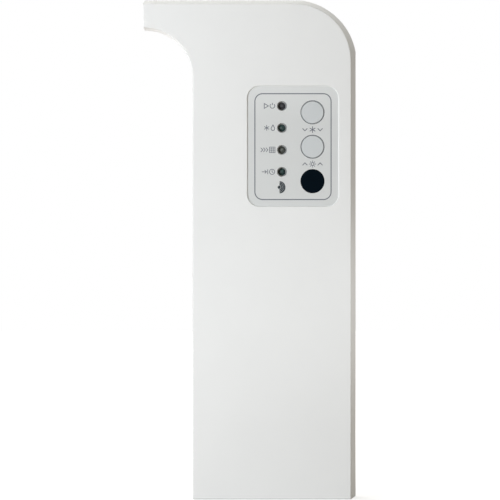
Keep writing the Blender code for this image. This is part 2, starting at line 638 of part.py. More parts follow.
# Infrared receiver: block with a round lens, its three leads bent down into the board
half_block = RECEIVER_LENGTH / 2
receiver_block = boxes("infrared_receiver", [((-RECEIVER_WIDTH / 2, RECEIVER_WIDTH / 2),
                                              (-half_block, half_block), (0, RECEIVER_THICKNESS))])
receiver = add_piece("infrared_receiver", receiver_block, (0.015, 0.015, 0.018), 0.3,
                     BUTTON_X, FRONT_SEAT, WINDOW_Z, TO_FACE)
lens_root = RECEIVER_THICKNESS - RECEIVER_LENS_RADIUS / 4
lens_profile = [(RECEIVER_LENS_RADIUS * math.sin(math.radians(angle)),
                 lens_root + RECEIVER_LENS_RADIUS * math.cos(math.radians(angle)))
                for angle in range(0, 91, 18)]
lens = add_tool(receiver, profile("receiver_lens", lens_profile + [(0, lens_root)]))
turned(lens, 16)
combine(receiver, lens, "UNION")
lead_y = -half_block - RECEIVER_LEAD_REACH
knee = (RECEIVER_THICKNESS / 2, RECEIVER_THICKNESS / 2 + LEAD_WIDTH)
for place in (-1, 0, 1):
    lead_x = place * LEAD_PITCH
    across = (lead_x - half_lead, lead_x + half_lead)
    reach = (lead_y - half_lead, half_lead - half_block)
    arm = boxes("receiver_arm_%d" % (place + 2), [(across, reach, knee)])
    combine(receiver, add_tool(receiver, arm), "UNION")
    drop = boxes("receiver_drop_%d" % (place + 2), [
        ((lead_x - half_lead * 0.9, lead_x + half_lead * 0.9),
         (lead_y - half_lead * 0.9, lead_y + half_lead * 0.9), (tail_end, knee[0] + half_lead))])
    combine(receiver, add_tool(receiver, drop), "UNION")
    board_holes.append(circle(BUTTON_COLUMN + lead_x, WINDOW_Z - RECESS_Z + lead_y, lead_hole, 6))

# Tactile switches: housing with four legs, and the plunger that the button's stem pushes
leg_x = SWITCH_WIDTH / 2
leg_hole = math.hypot(LEG_WIDTH, LEG_THICKNESS) / 2 + LEAD_GAP
half_switch = SWITCH_WIDTH / 2
plunger_well = PLUNGER_DEPTH + BUTTON_TRAVEL + SEAT_GAP
plunger_round = PLUNGER_RADIUS / 8
plunger_profile = [(0, PLUNGER_RISE), (PLUNGER_RADIUS - plunger_round, PLUNGER_RISE),
                   (PLUNGER_RADIUS, PLUNGER_RISE - plunger_round), (PLUNGER_RADIUS, -PLUNGER_DEPTH),
                   (0, -PLUNGER_DEPTH)]
well_radius = PLUNGER_RADIUS + SLIDE_GAP
well_top = SWITCH_HEIGHT + SEAT_GAP
well_floor = SWITCH_HEIGHT - plunger_well
well_profile = [(0, well_top), (well_radius, well_top), (well_radius, well_floor), (0, well_floor)]
for side, place_z in button_places.items():
    block = boxes(side + "_switch", [((-half_switch, half_switch), (-half_switch, half_switch),
                                      (0, SWITCH_HEIGHT))])
    switch = add_piece(side + "_switch", block, (0.02, 0.02, 0.022), 0.5,
                       BUTTON_X, FRONT_SEAT, place_z, TO_FACE)
    leg_spans = []
    for across, up in ((-1, -1), (1, -1), (-1, 1), (1, 1)):
        x = across * leg_x
        y = up * LEG_PITCH / 2
        leg_spans.append(((x - LEG_THICKNESS / 2, x + LEG_THICKNESS / 2),
                          (y - LEG_WIDTH / 2, y + LEG_WIDTH / 2), (tail_end, LEG_RISE)))
        board_holes.append(circle(BUTTON_COLUMN + x, place_z - RECESS_Z + y, leg_hole, 8))
    combine(switch, add_tool(switch, boxes(side + "_switch_legs", leg_spans)), "UNION")
    well = add_tool(switch, profile(side + "_plunger_well", well_profile))
    turned(well, 16)
    combine(switch, well, "DIFFERENCE")
    plunger = add_piece(side + "_plunger", profile(side + "_plunger", plunger_profile), (0.02, 0.02, 0.02),
                        0.4, BUTTON_X, SWITCH_FRONT, place_z, TO_FACE)
    turned(plunger, 16)

# Wire header: open shroud on the rear of the board, with two notches, and five pins through both
pin_row = [(place - (HEADER_PINS - 1) / 2) * PIN_PITCH for place in range(HEADER_PINS)]
half_header = pin_row[-1] + HEADER_END
half_width = HEADER_WIDTH / 2
header_block = boxes("wire_header", [((-half_header, half_header), (-half_width, half_width),
                                      (0, HEADER_HEIGHT))])
header_x = RECESS_X + HEADER_COLUMN
header_z = RECESS_Z + HEADER_ROW
header = add_piece("wire_header", header_block, (0.75, 0.73, 0.66), 0.4,
                   header_x, REAR_SEAT, header_z, TO_REAR)
mouth = boxes("header_mouth", [((HEADER_WALL - half_header, half_header - HEADER_WALL),
                                (HEADER_WALL - half_width, half_width - HEADER_WALL),
                                (HEADER_FLOOR, HEADER_HEIGHT + SEAT_GAP))])
combine(header, add_tool(header, mouth), "DIFFERENCE")
notch_half = HEADER_NOTCH / 2
notch_spans = [((x - notch_half, x + notch_half), (half_width - 1.5 * HEADER_WALL, half_width + SEAT_GAP),
                (HEADER_FLOOR + HEADER_WALL, HEADER_HEIGHT + 2 * SEAT_GAP))
               for x in (pin_row[0], pin_row[-1])]
combine(header, add_tool(header, boxes("header_notches", notch_spans)), "DIFFERENCE")
half_pin = PIN_WIDTH / 2
half_hole = half_pin + PIN_GAP
hole_depth = (-SEAT_GAP, HEADER_FLOOR + SEAT_GAP)
hole_spans = [((x - half_hole, x + half_hole), (-half_hole, half_hole), hole_depth) for x in pin_row]
combine(header, add_tool(header, boxes("header_pin_holes", hole_spans)), "DIFFERENCE")
pin_span = (tail_end, HEADER_HEIGHT - HEADER_WALL)
for place, x in enumerate(pin_row):
    name = "header_pin_%d" % (place + 1)
    pin = boxes(name, [((-half_pin, half_pin), (-half_pin, half_pin), pin_span)])
    add_piece(name, pin, (0.75, 0.73, 0.68), 0.25, header_x - x, REAR_SEAT, header_z, TO_REAR, metallic=1.0)
    board_holes.append(circle(HEADER_COLUMN + x, HEADER_ROW, PIN_WIDTH / math.sqrt(2) + LEAD_GAP, 6))

# Driver chip: flat block with gull-wing legs along both sides
half_chip = CHIP_WIDTH / 2
chip_lift = CHIP_PIN_THICKNESS
chip_block = boxes("driver_chip", [((-half_chip, half_chip), (-CHIP_LENGTH / 2, CHIP_LENGTH / 2),
                                    (chip_lift, chip_lift + CHIP_HEIGHT))])
chip = add_piece("driver_chip", chip_block, (0.015, 0.015, 0.016), 0.5,
                 RECESS_X + CHIP_COLUMN, REAR_SEAT, RECESS_Z + CHIP_ROW, TO_REAR)
leg_level = chip_lift + CHIP_HEIGHT / 2
leg_section = [(-CHIP_PIN_THICKNESS, leg_level), (CHIP_PIN_REACH * 0.45, leg_level),
               (CHIP_PIN_REACH * 0.6, CHIP_PIN_THICKNESS), (CHIP_PIN_REACH, CHIP_PIN_THICKNESS),
               (CHIP_PIN_REACH, 0), (CHIP_PIN_REACH * 0.45, 0),
               (CHIP_PIN_REACH * 0.3, leg_level - CHIP_PIN_THICKNESS),
               (-CHIP_PIN_THICKNESS, leg_level - CHIP_PIN_THICKNESS)]
leg_work = bmesh.new()
for hand in (-1, 1):
    for place in range(CHIP_PINS):
        middle = (place - (CHIP_PINS - 1) / 2) * CHIP_PIN_PITCH
        rings = []
        for edge in (middle - CHIP_PIN_WIDTH / 2, middle + CHIP_PIN_WIDTH / 2):
            rings.append([leg_work.verts.new((hand * (half_chip + x), edge, height))
                          for x, height in leg_section])
        for spot in range(len(leg_section)):
            after = (spot + 1) % len(leg_section)
            leg_work.faces.new((rings[0][spot], rings[0][after], rings[1][after], rings[1][spot]))
        leg_work.faces.new(rings[0])
        leg_work.faces.new(rings[1])
bmesh.ops.triangulate(leg_work, faces=leg_work.faces[:])
combine(chip, add_tool(chip, new_mesh("chip_legs", leg_work)), "UNION")

# Buzzer: drum with a sound hole and two leads
hole_floor = BUZZER_HEIGHT - BUZZER_HOLE_DEPTH
drum_round = BUZZER_HOLE_RADIUS / 2
buzzer_profile = [(0, hole_floor), (BUZZER_HOLE_RADIUS, hole_floor), (BUZZER_HOLE_RADIUS, BUZZER_HEIGHT),
                  (BUZZER_RADIUS - drum_round, BUZZER_HEIGHT), (BUZZER_RADIUS, BUZZER_HEIGHT - drum_round),
                  (BUZZER_RADIUS, 0), (0, 0)]
buzzer = add_piece("buzzer", profile("buzzer", buzzer_profile), (0.012, 0.012, 0.013), 0.45,
                   RECESS_X + BUZZER_COLUMN, REAR_SEAT, RECESS_Z + BUZZER_ROW, TO_REAR)
turned(buzzer, 24)
buzzer_leads = [(-BUZZER_LEAD_PITCH / 2, 0), (BUZZER_LEAD_PITCH / 2, 0)]
leads = boxes("buzzer_leads", lead_spans(buzzer_leads, BUZZER_HEIGHT / 4))
combine(buzzer, add_tool(buzzer, leads), "UNION")
board_holes += [circle(BUZZER_COLUMN + x, BUZZER_ROW, lead_hole, 6) for x, y in buzzer_leads]

# Smoothing capacitor: can with a rolled groove near its foot and two leads
groove = CAPACITOR_RADIUS - CAPACITOR_GROOVE
can_round = CAPACITOR_GROOVE
capacitor_profile = [
    (0, CAPACITOR_HEIGHT), (CAPACITOR_RADIUS - can_round, CAPACITOR_HEIGHT),
    (CAPACITOR_RADIUS, CAPACITOR_HEIGHT - can_round), (CAPACITOR_RADIUS, 5 * CAPACITOR_GROOVE),
    (groove, 4 * CAPACITOR_GROOVE), (groove, 3 * CAPACITOR_GROOVE),
    (CAPACITOR_RADIUS, 2 * CAPACITOR_GROOVE), (CAPACITOR_RADIUS, 0), (0, 0)]
capacitor = add_piece("smoothing_capacitor", profile("smoothing_capacitor", capacitor_profile),
                      (0.02, 0.03, 0.06), 0.35, RECESS_X + CAPACITOR_COLUMN, REAR_SEAT,
                      RECESS_Z + CAPACITOR_ROW, TO_REAR)
turned(capacitor, 20)
capacitor_leads = [(-LEAD_PITCH / 2, 0), (LEAD_PITCH / 2, 0)]
leads = boxes("capacitor_leads", lead_spans(capacitor_leads, CAPACITOR_GROOVE))
combine(capacitor, add_tool(capacitor, leads), "UNION")
board_holes += [circle(CAPACITOR_COLUMN + x, CAPACITOR_ROW, lead_hole, 6) for x, y in capacitor_leads]

# Lamp resistors: one chip resistor beside each lamp's leads
for place, place_z in enumerate(LAMP_Z):
    name = "lamp_resistor_%d" % (place + 1)
    slab = boxes(name, [((-RESISTOR_LENGTH / 2, RESISTOR_LENGTH / 2),
                         (-RESISTOR_WIDTH / 2, RESISTOR_WIDTH / 2), (0, RESISTOR_HEIGHT))])
    add_piece(name, slab, (0.02, 0.02, 0.02), 0.4, LAMP_X + RESISTOR_OFFSET, REAR_SEAT, place_z, TO_REAR)

# Circuit board: glass-fibre sheet on the four posts
board_outline = rounded_box_outline(0, 0, BOARD_WIDTH, BOARD_HEIGHT, BOARD_CORNER, 3)
circuit_board = plate("circuit_board", BOARD_THICKNESS, board_outline, board_holes)
add_piece("circuit_board", circuit_board, (0.02, 0.12, 0.06), 0.4,
          RECESS_X, BOARD_FRONT + BOARD_THICKNESS / 2, RECESS_Z, TO_FACE)

# Board screws: pan heads with a cross slot, driven into the posts from behind
screw_profile = [
    (0, SCREW_HEAD_HEIGHT), (SCREW_HEAD_RADIUS * 0.6, SCREW_HEAD_HEIGHT * 0.95),
    (SCREW_HEAD_RADIUS * 0.92, SCREW_HEAD_HEIGHT * 0.65), (SCREW_HEAD_RADIUS, SCREW_HEAD_HEIGHT * 0.25),
    (SCREW_HEAD_RADIUS, 0), (SCREW_RADIUS, 0), (SCREW_RADIUS, SCREW_POINT - SCREW_LENGTH),
    (0, -SCREW_LENGTH)]
slot_reach = SCREW_HEAD_RADIUS * 0.55
half_slot = SCREW_SLOT_WIDTH / 2
above_head = SCREW_HEAD_HEIGHT + SCREW_SLOT_DEPTH
slot_floor = SCREW_HEAD_HEIGHT - SCREW_SLOT_DEPTH
slot_spans = [((-slot_reach, slot_reach), (-half_slot, half_slot), (slot_floor, above_head)),
              ((-half_slot, half_slot), (-slot_reach, slot_reach), (slot_floor - SCREW_GAP, above_head))]
for place, (spot_x, spot_z) in enumerate(board_spots):
    name = "board_screw_%d" % (place + 1)
    screw = add_piece(name, profile(name, screw_profile), (0.6, 0.6, 0.58), 0.3, spot_x, REAR_SEAT, spot_z,
                      TO_REAR, metallic=1.0)
    turned(screw, 14)
    for count, span in enumerate(slot_spans):
        slot = boxes(name + "_slot_%d" % (count + 1), [span])
        combine(screw, add_tool(screw, slot), "DIFFERENCE")
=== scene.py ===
"""Control end cover of a split heat pump's indoor unit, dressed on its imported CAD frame."""

import math

import bmesh
import bpy
from mathutils import Matrix, Vector


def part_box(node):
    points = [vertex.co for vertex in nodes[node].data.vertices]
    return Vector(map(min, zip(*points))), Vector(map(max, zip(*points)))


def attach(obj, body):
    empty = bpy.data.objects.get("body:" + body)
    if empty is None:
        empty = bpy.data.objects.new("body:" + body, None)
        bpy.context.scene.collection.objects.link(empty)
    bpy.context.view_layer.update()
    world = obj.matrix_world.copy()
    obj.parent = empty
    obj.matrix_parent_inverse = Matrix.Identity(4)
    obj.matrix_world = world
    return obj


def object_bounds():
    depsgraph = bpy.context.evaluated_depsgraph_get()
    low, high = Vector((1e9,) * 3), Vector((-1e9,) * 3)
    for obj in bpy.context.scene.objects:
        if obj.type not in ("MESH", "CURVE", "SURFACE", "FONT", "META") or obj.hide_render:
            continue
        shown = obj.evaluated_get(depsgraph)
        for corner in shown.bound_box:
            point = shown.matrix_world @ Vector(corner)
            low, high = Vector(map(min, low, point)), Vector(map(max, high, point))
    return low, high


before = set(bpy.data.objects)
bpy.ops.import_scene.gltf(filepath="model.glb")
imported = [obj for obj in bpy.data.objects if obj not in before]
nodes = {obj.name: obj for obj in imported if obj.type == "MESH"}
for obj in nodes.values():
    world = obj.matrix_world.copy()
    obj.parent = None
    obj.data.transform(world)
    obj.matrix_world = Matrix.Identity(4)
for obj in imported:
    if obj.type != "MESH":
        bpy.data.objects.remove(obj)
cad_low, cad_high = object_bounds()


# End cover: one shell of off-white ABS, injection moulded, open at the back with ribs and posts inside.
# The mould's outer face was spark eroded, which leaves a fine matt grain. The inside is plain and smoother.
# It is hung on the unit's end frame with two latches and four screws from behind.
MM = 0.001


def linear(code):
    """Linear colour, with alpha, of an sRGB hex value."""
    parts = [int(code[place:place + 2], 16) / 255 for place in (1, 3, 5)]
    return (*[part / 12.92 if part <= 0.04045 else ((part + 0.055) / 1.055) ** 2.4 for part in parts], 1)


def new_finish(name):
    """Material with an empty node tree."""
    finish = bpy.data.materials.new(name)
    finish.use_nodes = True
    finish.node_tree.nodes.clear()
    return finish


def add_node(finish, kind, inputs, **settings):
    """Add a node with its own settings; each input is a value, or an output that is linked to it."""
    node = finish.node_tree.nodes.new("ShaderNode" + kind)
    for name, value in settings.items():
        setattr(node, name, value)
    for socket, value in inputs.items():
        if isinstance(value, bpy.types.NodeSocket):
            finish.node_tree.links.new(value, node.inputs[socket])
        else:
            node.inputs[socket].default_value = value
    return node


def wear(node_names, finish, sharp=32):
    """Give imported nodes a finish, with their round sides shaded smooth and their real edges crisp."""
    limit = math.cos(math.radians(sharp))
    for name in node_names:
        mesh = nodes[name].data
        mesh.materials.clear()
        mesh.materials.append(finish)
        mesh.shade_smooth()
        corners = {}
        for face in mesh.polygons:
            for corner in face.loop_indices:
                point = mesh.vertices[mesh.loops[corner].vertex_index].co
                key = tuple(round(length, 7) for length in point)
                corners.setdefault(key, []).append((corner, face.normal.copy(), face.area))
        normals = [Vector((0, 0, 1))] * len(mesh.loops)
        for meeting in corners.values():
            for corner, normal, area in meeting:
                total = sum((other * size for place, other, size in meeting if normal.dot(other) > limit),
                            normal * 1e-12)
                normals[corner] = total.normalized()
        mesh.normals_split_custom_set(normals)


# Moulded ABS: even and pale, with a soft broad sheen. The erosion grain is about 0.3 mm, too fine to show,
# so it is drawn at 0.8 mm. Patches some 30 mm wide are a shade apart where the melt met and cooled.
moulded_abs = new_finish("moulded_abs")
place = add_node(moulded_abs, "TexCoord", {}).outputs["Object"]
patches = add_node(moulded_abs, "TexNoise", {"Vector": place, "Scale": 1 / (30 * MM), "Detail": 2})
shade = add_node(moulded_abs, "Mix", {0: patches.outputs["Fac"], 6: linear("#E9EBEB"), 7: linear("#EDEFEF")},
                 data_type="RGBA")
grain = add_node(moulded_abs, "TexNoise", {"Vector": place, "Scale": 1 / (0.8 * MM), "Detail": 3})
facing = add_node(moulded_abs, "SeparateXYZ",
                  {0: add_node(moulded_abs, "NewGeometry", {}).outputs["True Normal"]})
outside = add_node(moulded_abs, "MapRange", {
    "Value": facing.outputs["Y"], "From Min": 0.04, "From Max": -0.04, "To Min": 0.15, "To Max": 1})
relief = add_node(moulded_abs, "Math", {0: grain.outputs["Fac"], 1: outside.outputs["Result"]},
                  operation="MULTIPLY")
bump = add_node(moulded_abs, "Bump", {"Height": relief.outputs["Value"], "Strength": 0.25,
                                      "Distance": 0.02 * MM})
gloss = add_node(moulded_abs, "MapRange", {
    "Value": relief.outputs["Value"], "From Min": 0.1, "From Max": 0.6, "To Min": 0.42, "To Max": 0.6})
skin = add_node(moulded_abs, "BsdfPrincipled", {
    "Base Color": shade.outputs[2], "Roughness": gloss.outputs["Result"], "IOR": 1.53,
    "Specular IOR Level": 0.3, "Normal": bump.outputs["Normal"]})
add_node(moulded_abs, "OutputMaterial", {"Surface": skin.outputs["BSDF"]})
wear(["end_cover"], moulded_abs)


# Ejector marks: the mould's round pins pushed the cover out, and each left a fine raised ring inside.
# They are part of the moulding, in the bays between its ribs, and show only from behind.
def add_piece(name, work, finish, body="cover"):
    """Make finished mesh work a piece that rides on a body."""
    bmesh.ops.recalc_face_normals(work, faces=work.faces[:])
    mesh = bpy.data.meshes.new(name)
    work.to_mesh(mesh)
    work.free()
    mesh.materials.append(finish)
    mesh.shade_smooth()
    mesh.set_sharp_from_angle(angle=math.radians(35))
    piece = bpy.data.objects.new(name, mesh)
    bpy.context.scene.collection.objects.link(piece)
    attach(piece, body)
    return piece


def join_rings(work, rings):
    """Close a tube of faces through rings of points that have the same count, the last back to the first."""
    for ring, following in zip(rings, rings[1:] + rings[:1]):
        for step in range(len(ring)):
            turn = (step + 1) % len(ring)
            work.faces.new((ring[step], ring[turn], following[turn], following[step]))


def turned(work, profile, centre, steps):
    """Turn a closed profile of (radius, depth) points, in millimetres, about a front-to-back axis."""
    rings = []
    for step in range(steps):
        angle = 2 * math.pi * step / steps
        ring = []
        for radius, depth in profile:
            across = centre[0] + radius * math.cos(angle)
            up = centre[1] + radius * math.sin(angle)
            ring.append(work.verts.new((across * MM, depth * MM, up * MM)))
        rings.append(ring)
    join_rings(work, rings)


PIN_MARK_RADIUS, PIN_MARK_WIDTH, PIN_MARK_RISE, PIN_MARK_ROOT = 2.6, 0.35, 0.12, 0.05
FACE_WALL, ARM_LENGTH = 2.5, 28.6
cover_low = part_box("end_cover")[0]
inside_face = cover_low.y / MM + FACE_WALL
face_left = cover_low.x / MM + ARM_LENGTH
inner_radius = PIN_MARK_RADIUS - PIN_MARK_WIDTH
mark_root, mark_top = inside_face - PIN_MARK_ROOT, inside_face + PIN_MARK_RISE
mark_profile = [(PIN_MARK_RADIUS, mark_root), (PIN_MARK_RADIUS, mark_top), (inner_radius, mark_top),
                (inner_radius, mark_root)]
# Places across from the face's left edge and up from the foot: two columns below the board, two marks beside
# it and one above
mark_places = [(across, up) for across in (23, 69) for up in (21, 62, 104, 146)]
mark_places += [(15, 190), (15, 225), (34, 268)]
pin_marks = bmesh.new()
for across, up in mark_places:
    turned(pin_marks, mark_profile, (face_left + across, up), 40)
add_piece("ejector_marks", pin_marks, moulded_abs)


# Overlay sheet: half-millimetre polycarbonate, die cut with its holes and stuck to the recess floor.
# Its face is a fine satin, and the grey-white ground printed behind it gives an even, slightly cool colour.
sheet_low, sheet_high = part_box("overlay_sheet")
sheet_middle = (sheet_low + sheet_high) / 2
printed_polycarbonate = new_finish("printed_polycarbonate")
place = add_node(printed_polycarbonate, "TexCoord", {}).outputs["Object"]
# Satin emboss of about 0.2 mm, drawn at 0.6 mm so that it shows
satin = add_node(printed_polycarbonate, "TexNoise", {"Vector": place, "Scale": 1 / (0.6 * MM), "Detail": 2})
ground = add_node(printed_polycarbonate, "Mix", {0: satin.outputs["Fac"], 6: linear("#D0D3D3"),
                                                 7: linear("#D4D7D7")}, data_type="RGBA")
# Painted light: the ground is made a shade paler along the upper edge, standing in for brighter light
# falling there
height = add_node(printed_polycarbonate, "SeparateXYZ", {0: place}).outputs["Z"]
painted_top_light = add_node(printed_polycarbonate, "MapRange", {"Value": height, "From Min": sheet_high.z - 20 * MM,
                                                     "From Max": sheet_high.z, "To Max": 0.7})
ground = add_node(printed_polycarbonate, "Mix", {0: painted_top_light.outputs["Result"], 6: ground.outputs[2],
                                                 7: linear("#DEE1E1")}, data_type="RGBA")
gloss = add_node(printed_polycarbonate, "MapRange", {"Value": satin.outputs["Fac"], "To Min": 0.34,
                                                     "To Max": 0.5})
bump = add_node(printed_polycarbonate, "Bump", {"Height": satin.outputs["Fac"], "Strength": 0.2,
                                                "Distance": 0.01 * MM})
skin = add_node(printed_polycarbonate, "BsdfPrincipled", {
    "Base Color": ground.outputs[2], "Roughness": gloss.outputs["Result"], "IOR": 1.58,
    "Normal": bump.outputs["Normal"]})
add_node(printed_polycarbonate, "OutputMaterial", {"Surface": skin.outputs["BSDF"]})
wear(["overlay_sheet"], printed_polycarbonate)


# Adhesive bead: the sheet's glue, pressed out all round as it was laid, fills the groove beside its edge.
# It sets clear over the grey-white ground, and it slopes up a little on the wall of the recess.
def arc(centre, radius, start, end, steps):
    """Points along an arc in the panel's plane, angles in degrees from +x toward +z."""
    angles = [math.radians(start + (end - start) * step / steps) for step in range(steps + 1)]
    return [(centre[0] + radius * math.cos(angle), centre[1] + radius * math.sin(angle)) for angle in angles]


def round_box(centre, width, height, corner):
    """Points round a box with rounded corners, all in millimetres."""
    points = []
    for quarter, (hand_x, hand_z) in enumerate(((1, 1), (-1, 1), (-1, -1), (1, -1))):
        middle = (centre[0] + hand_x * (width / 2 - corner), centre[1] + hand_z * (height / 2 - corner))
        points += arc(middle, corner, 90 * quarter, 90 * quarter + 90, 10)
    return points


panel = (sheet_middle.x / MM, sheet_middle.z / MM)
sheet_width = (sheet_high.x - sheet_low.x) / MM
sheet_height = (sheet_high.z - sheet_low.z) / MM
SHEET_CORNER, WALL_GAP, WALL_SLOPE, BEAD_DEPTH = 6.48, 0.39, 0.6, 0.5
bead = bmesh.new()
bead_rings = []
for spread, depth in ((0.02, 0.03), (WALL_GAP, 0), (WALL_GAP - WALL_SLOPE * BEAD_DEPTH, BEAD_DEPTH),
                      (0.02, BEAD_DEPTH)):
    outline = round_box(panel, sheet_width + 2 * spread, sheet_height + 2 * spread, SHEET_CORNER + spread)
    bead_rings.append([bead.verts.new((x * MM, sheet_low.y + depth * MM, z * MM)) for x, z in outline])
join_rings(bead, bead_rings)
add_piece("adhesive_bead", bead, printed_polycarbonate)


# Printed border and signs: blue-grey ink, screen printed on the sheet in one film of about 0.03 mm.
# A line runs round the panel, and each lamp and button has a plain sign for what it stands for.
INK = 0.03 * MM


def strip(work, path, width, front, back, closed=False):
    """Add a flat closed strip along a path of (x, z) points in millimetres, between two depths in metres."""
    last = len(path) - 1
    rings = []
    for step, point in enumerate(path):
        before = path[step - 1] if step or closed else point
        after = path[(step + 1) % len(path)] if step < last or closed else point
        ways = [Vector((b[0] - a[0], b[1] - a[1])).normalized() for a, b in ((before, point), (point, after))
                if a != b]
        along = sum(ways, Vector((0, 0))).normalized()
        side = Vector((-along.y, along.x)) * width / 2 / max(0.3, along.dot(ways[0]))
        ring = []
        for hand, depth in ((1, front), (-1, front), (-1, back), (1, back)):
            across, up = point[0] + hand * side.x, point[1] + hand * side.y
            ring.append(work.verts.new((across * MM, depth, up * MM)))
        rings.append(ring)
    for ring, following in zip(rings, rings[1:] + rings[:1] if closed else rings[1:]):
        for corner in range(4):
            turn = (corner + 1) % 4
            work.faces.new((ring[corner], ring[turn], following[turn], following[corner]))
    if not closed:
        work.faces.new(rings[0])
        work.faces.new(rings[-1])


def spot(work, centre, radius, front, back, steps):
    """Add a flat round or many-sided spot, its centre and radius in millimetres."""
    lying = Matrix(((1, 0, 0, centre[0] * MM), (0, 0, -1, (front + back) / 2), (0, 1, 0, centre[1] * MM),
                    (0, 0, 0, 1)))
    bmesh.ops.create_cone(work, cap_ends=True, segments=steps, radius1=radius * MM, radius2=radius * MM,
                          depth=back - front, matrix=lying)


# Screen ink: matt and a little uneven, where the mesh of the screen left it thicker and thinner. The mesh is
# about 0.1 mm, drawn at 0.4 mm so that it shows.
screen_ink = new_finish("screen_ink")
place = add_node(screen_ink, "TexCoord", {}).outputs["Object"]
mesh_mark = add_node(screen_ink, "TexNoise", {"Vector": place, "Scale": 1 / (0.4 * MM), "Detail": 1})
ink_shade = add_node(screen_ink, "Mix", {0: mesh_mark.outputs["Fac"], 6: linear("#60656E"),
                                         7: linear("#6E737C")}, data_type="RGBA")
skin = add_node(screen_ink, "BsdfPrincipled", {"Base Color": ink_shade.outputs[2], "Roughness": 0.6,
                                               "IOR": 1.5})
add_node(screen_ink, "OutputMaterial", {"Surface": skin.outputs["BSDF"]})

ink_front = sheet_low.y - INK
ink_back = sheet_low.y - INK / 20
BORDER_WIDTH, BORDER_HEIGHT, BORDER_CORNER, BORDER_LINE, BORDER_DROP = 44.05, 61.2, 4.4, 0.58, 0.23
border = bmesh.new()
border_path = round_box((panel[0], panel[1] - BORDER_DROP), BORDER_WIDTH, BORDER_HEIGHT, BORDER_CORNER)
strip(border, border_path, BORDER_LINE, ink_front, ink_back, closed=True)
add_piece("printed_border", border, screen_ink)

SIGN_LINE = 0.4


def draw(work, lines, centre, thickness=SIGN_LINE):
    """Print strokes, each its points and whether it closes, about a centre, each a hair above the last."""
    for count, (points, closed) in enumerate(lines):
        moved = [(centre[0] + x, centre[1] + z) for x, z in points]
        strip(work, moved, thickness, ink_front - count * INK / 40, ink_back, closed)


def snowflake(size):
    """Three crossed bars."""
    lines = []
    for angle in (90, 30, 150):
        way = Vector((math.cos(math.radians(angle)), math.sin(math.radians(angle))))
        lines.append(([tuple(-size * way), tuple(size * way)], False))
    return lines


def node_middle(name):
    """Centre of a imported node, in millimetres across and up."""
    low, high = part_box(name)
    return ((low.x + high.x) / 2 / MM, (low.z + high.z) / 2 / MM)


signs = bmesh.new()
SIGN_RIGHT = -4.0
lamp = node_middle("run_led")
mark = (lamp[0] + SIGN_RIGHT - 1.5, lamp[1])
draw(signs, [(arc((0, 0), 1.35, 130, 410, 18), False), ([(0, 0.5), (0, 1.75)], False)], mark)
draw(signs, [([(-1.1, -1.4), (1.3, 0), (-1.1, 1.4)], True)], (mark[0] - 3.6, mark[1]))

lamp = node_middle("defrost_led")
mark = (lamp[0] + SIGN_RIGHT - 1.2, lamp[1])
drop = [(0, 1.7)] + arc((0, -0.45), 1.05, 30, -210, 12)
draw(signs, [(drop, True)], mark)
draw(signs, snowflake(1.6), (mark[0] - 3.6, mark[1]))

lamp = node_middle("filter_led")
mark = (lamp[0] + SIGN_RIGHT - 1.6, lamp[1])
mesh_lines = [([(-1.6, -1.6), (1.6, -1.6), (1.6, 1.6), (-1.6, 1.6)], True)]
mesh_lines += [([(-1.6, height), (1.6, height)], False) for height in (-0.55, 0.55)]
mesh_lines += [([(across, -1.6), (across, 1.6)], False) for across in (-0.55, 0.55)]
draw(signs, mesh_lines, mark, SIGN_LINE * 0.8)
air = [([(-0.5, 1.2), (0.6, 0), (-0.5, -1.2)], False)]
for step in (3.1, 4.6, 6.1):
    draw(signs, air, (mark[0] - step, mark[1]))

lamp = node_middle("timer_led")
mark = (lamp[0] + SIGN_RIGHT - 1.7, lamp[1])
draw(signs, [(arc((0, 0), 1.5, 0, 360, 20)[:-1], True), ([(0, 1.0), (0, 0), (0.8, -0.5)], False)], mark)
draw(signs, [([(-1.7, 0), (0.9, 0)], False), ([(0, 0.9), (1.0, 0), (0, -0.9)], False),
             ([(1.7, 1.4), (1.7, -1.4)], False)], (mark[0] - 4.2, mark[1]))

BUTTON_SIGN_DROP = 10.0
key = node_middle("cool_button")
mark = (key[0], key[1] - BUTTON_SIGN_DROP)
draw(signs, snowflake(1.85), mark, SIGN_LINE * 1.15)
for hand in (-1, 1):
    draw(signs, [([(-1.4, 0.7), (0, -0.7), (1.4, 0.7)], False)], (mark[0] + hand * 4.4, mark[1]),
         SIGN_LINE * 1.15)

key = node_middle("heat_button")
mark = (key[0], key[1] - BUTTON_SIGN_DROP)
rays = [([(1.35 * math.cos(math.radians(angle)), 1.35 * math.sin(math.radians(angle))),
          (1.95 * math.cos(math.radians(angle)), 1.95 * math.sin(math.radians(angle)))], False)
        for angle in range(0, 360, 45)]
draw(signs, [(arc((0, 0), 0.85, 0, 360, 16)[:-1], True)] + rays, mark, SIGN_LINE * 1.15)
for hand in (-1, 1):
    draw(signs, [([(-1.4, -0.7), (0, 0.7), (1.4, -0.7)], False)], (mark[0] + hand * 4.4, mark[1]),
         SIGN_LINE * 1.15)
add_piece("printed_signs", signs, screen_ink)

# A fine ring of the same ink frames each button's hole
KEY_RING_RADIUS, KEY_RING_LINE = 6.83, 0.22
rings = bmesh.new()
for name in ("cool_button", "heat_button"):
    circle = arc(node_middle(name), KEY_RING_RADIUS, 0, 360, 64)[:-1]
    strip(rings, circle, KEY_RING_LINE, ink_front, ink_back, closed=True)
add_piece("printed_key_rings", rings, screen_ink)

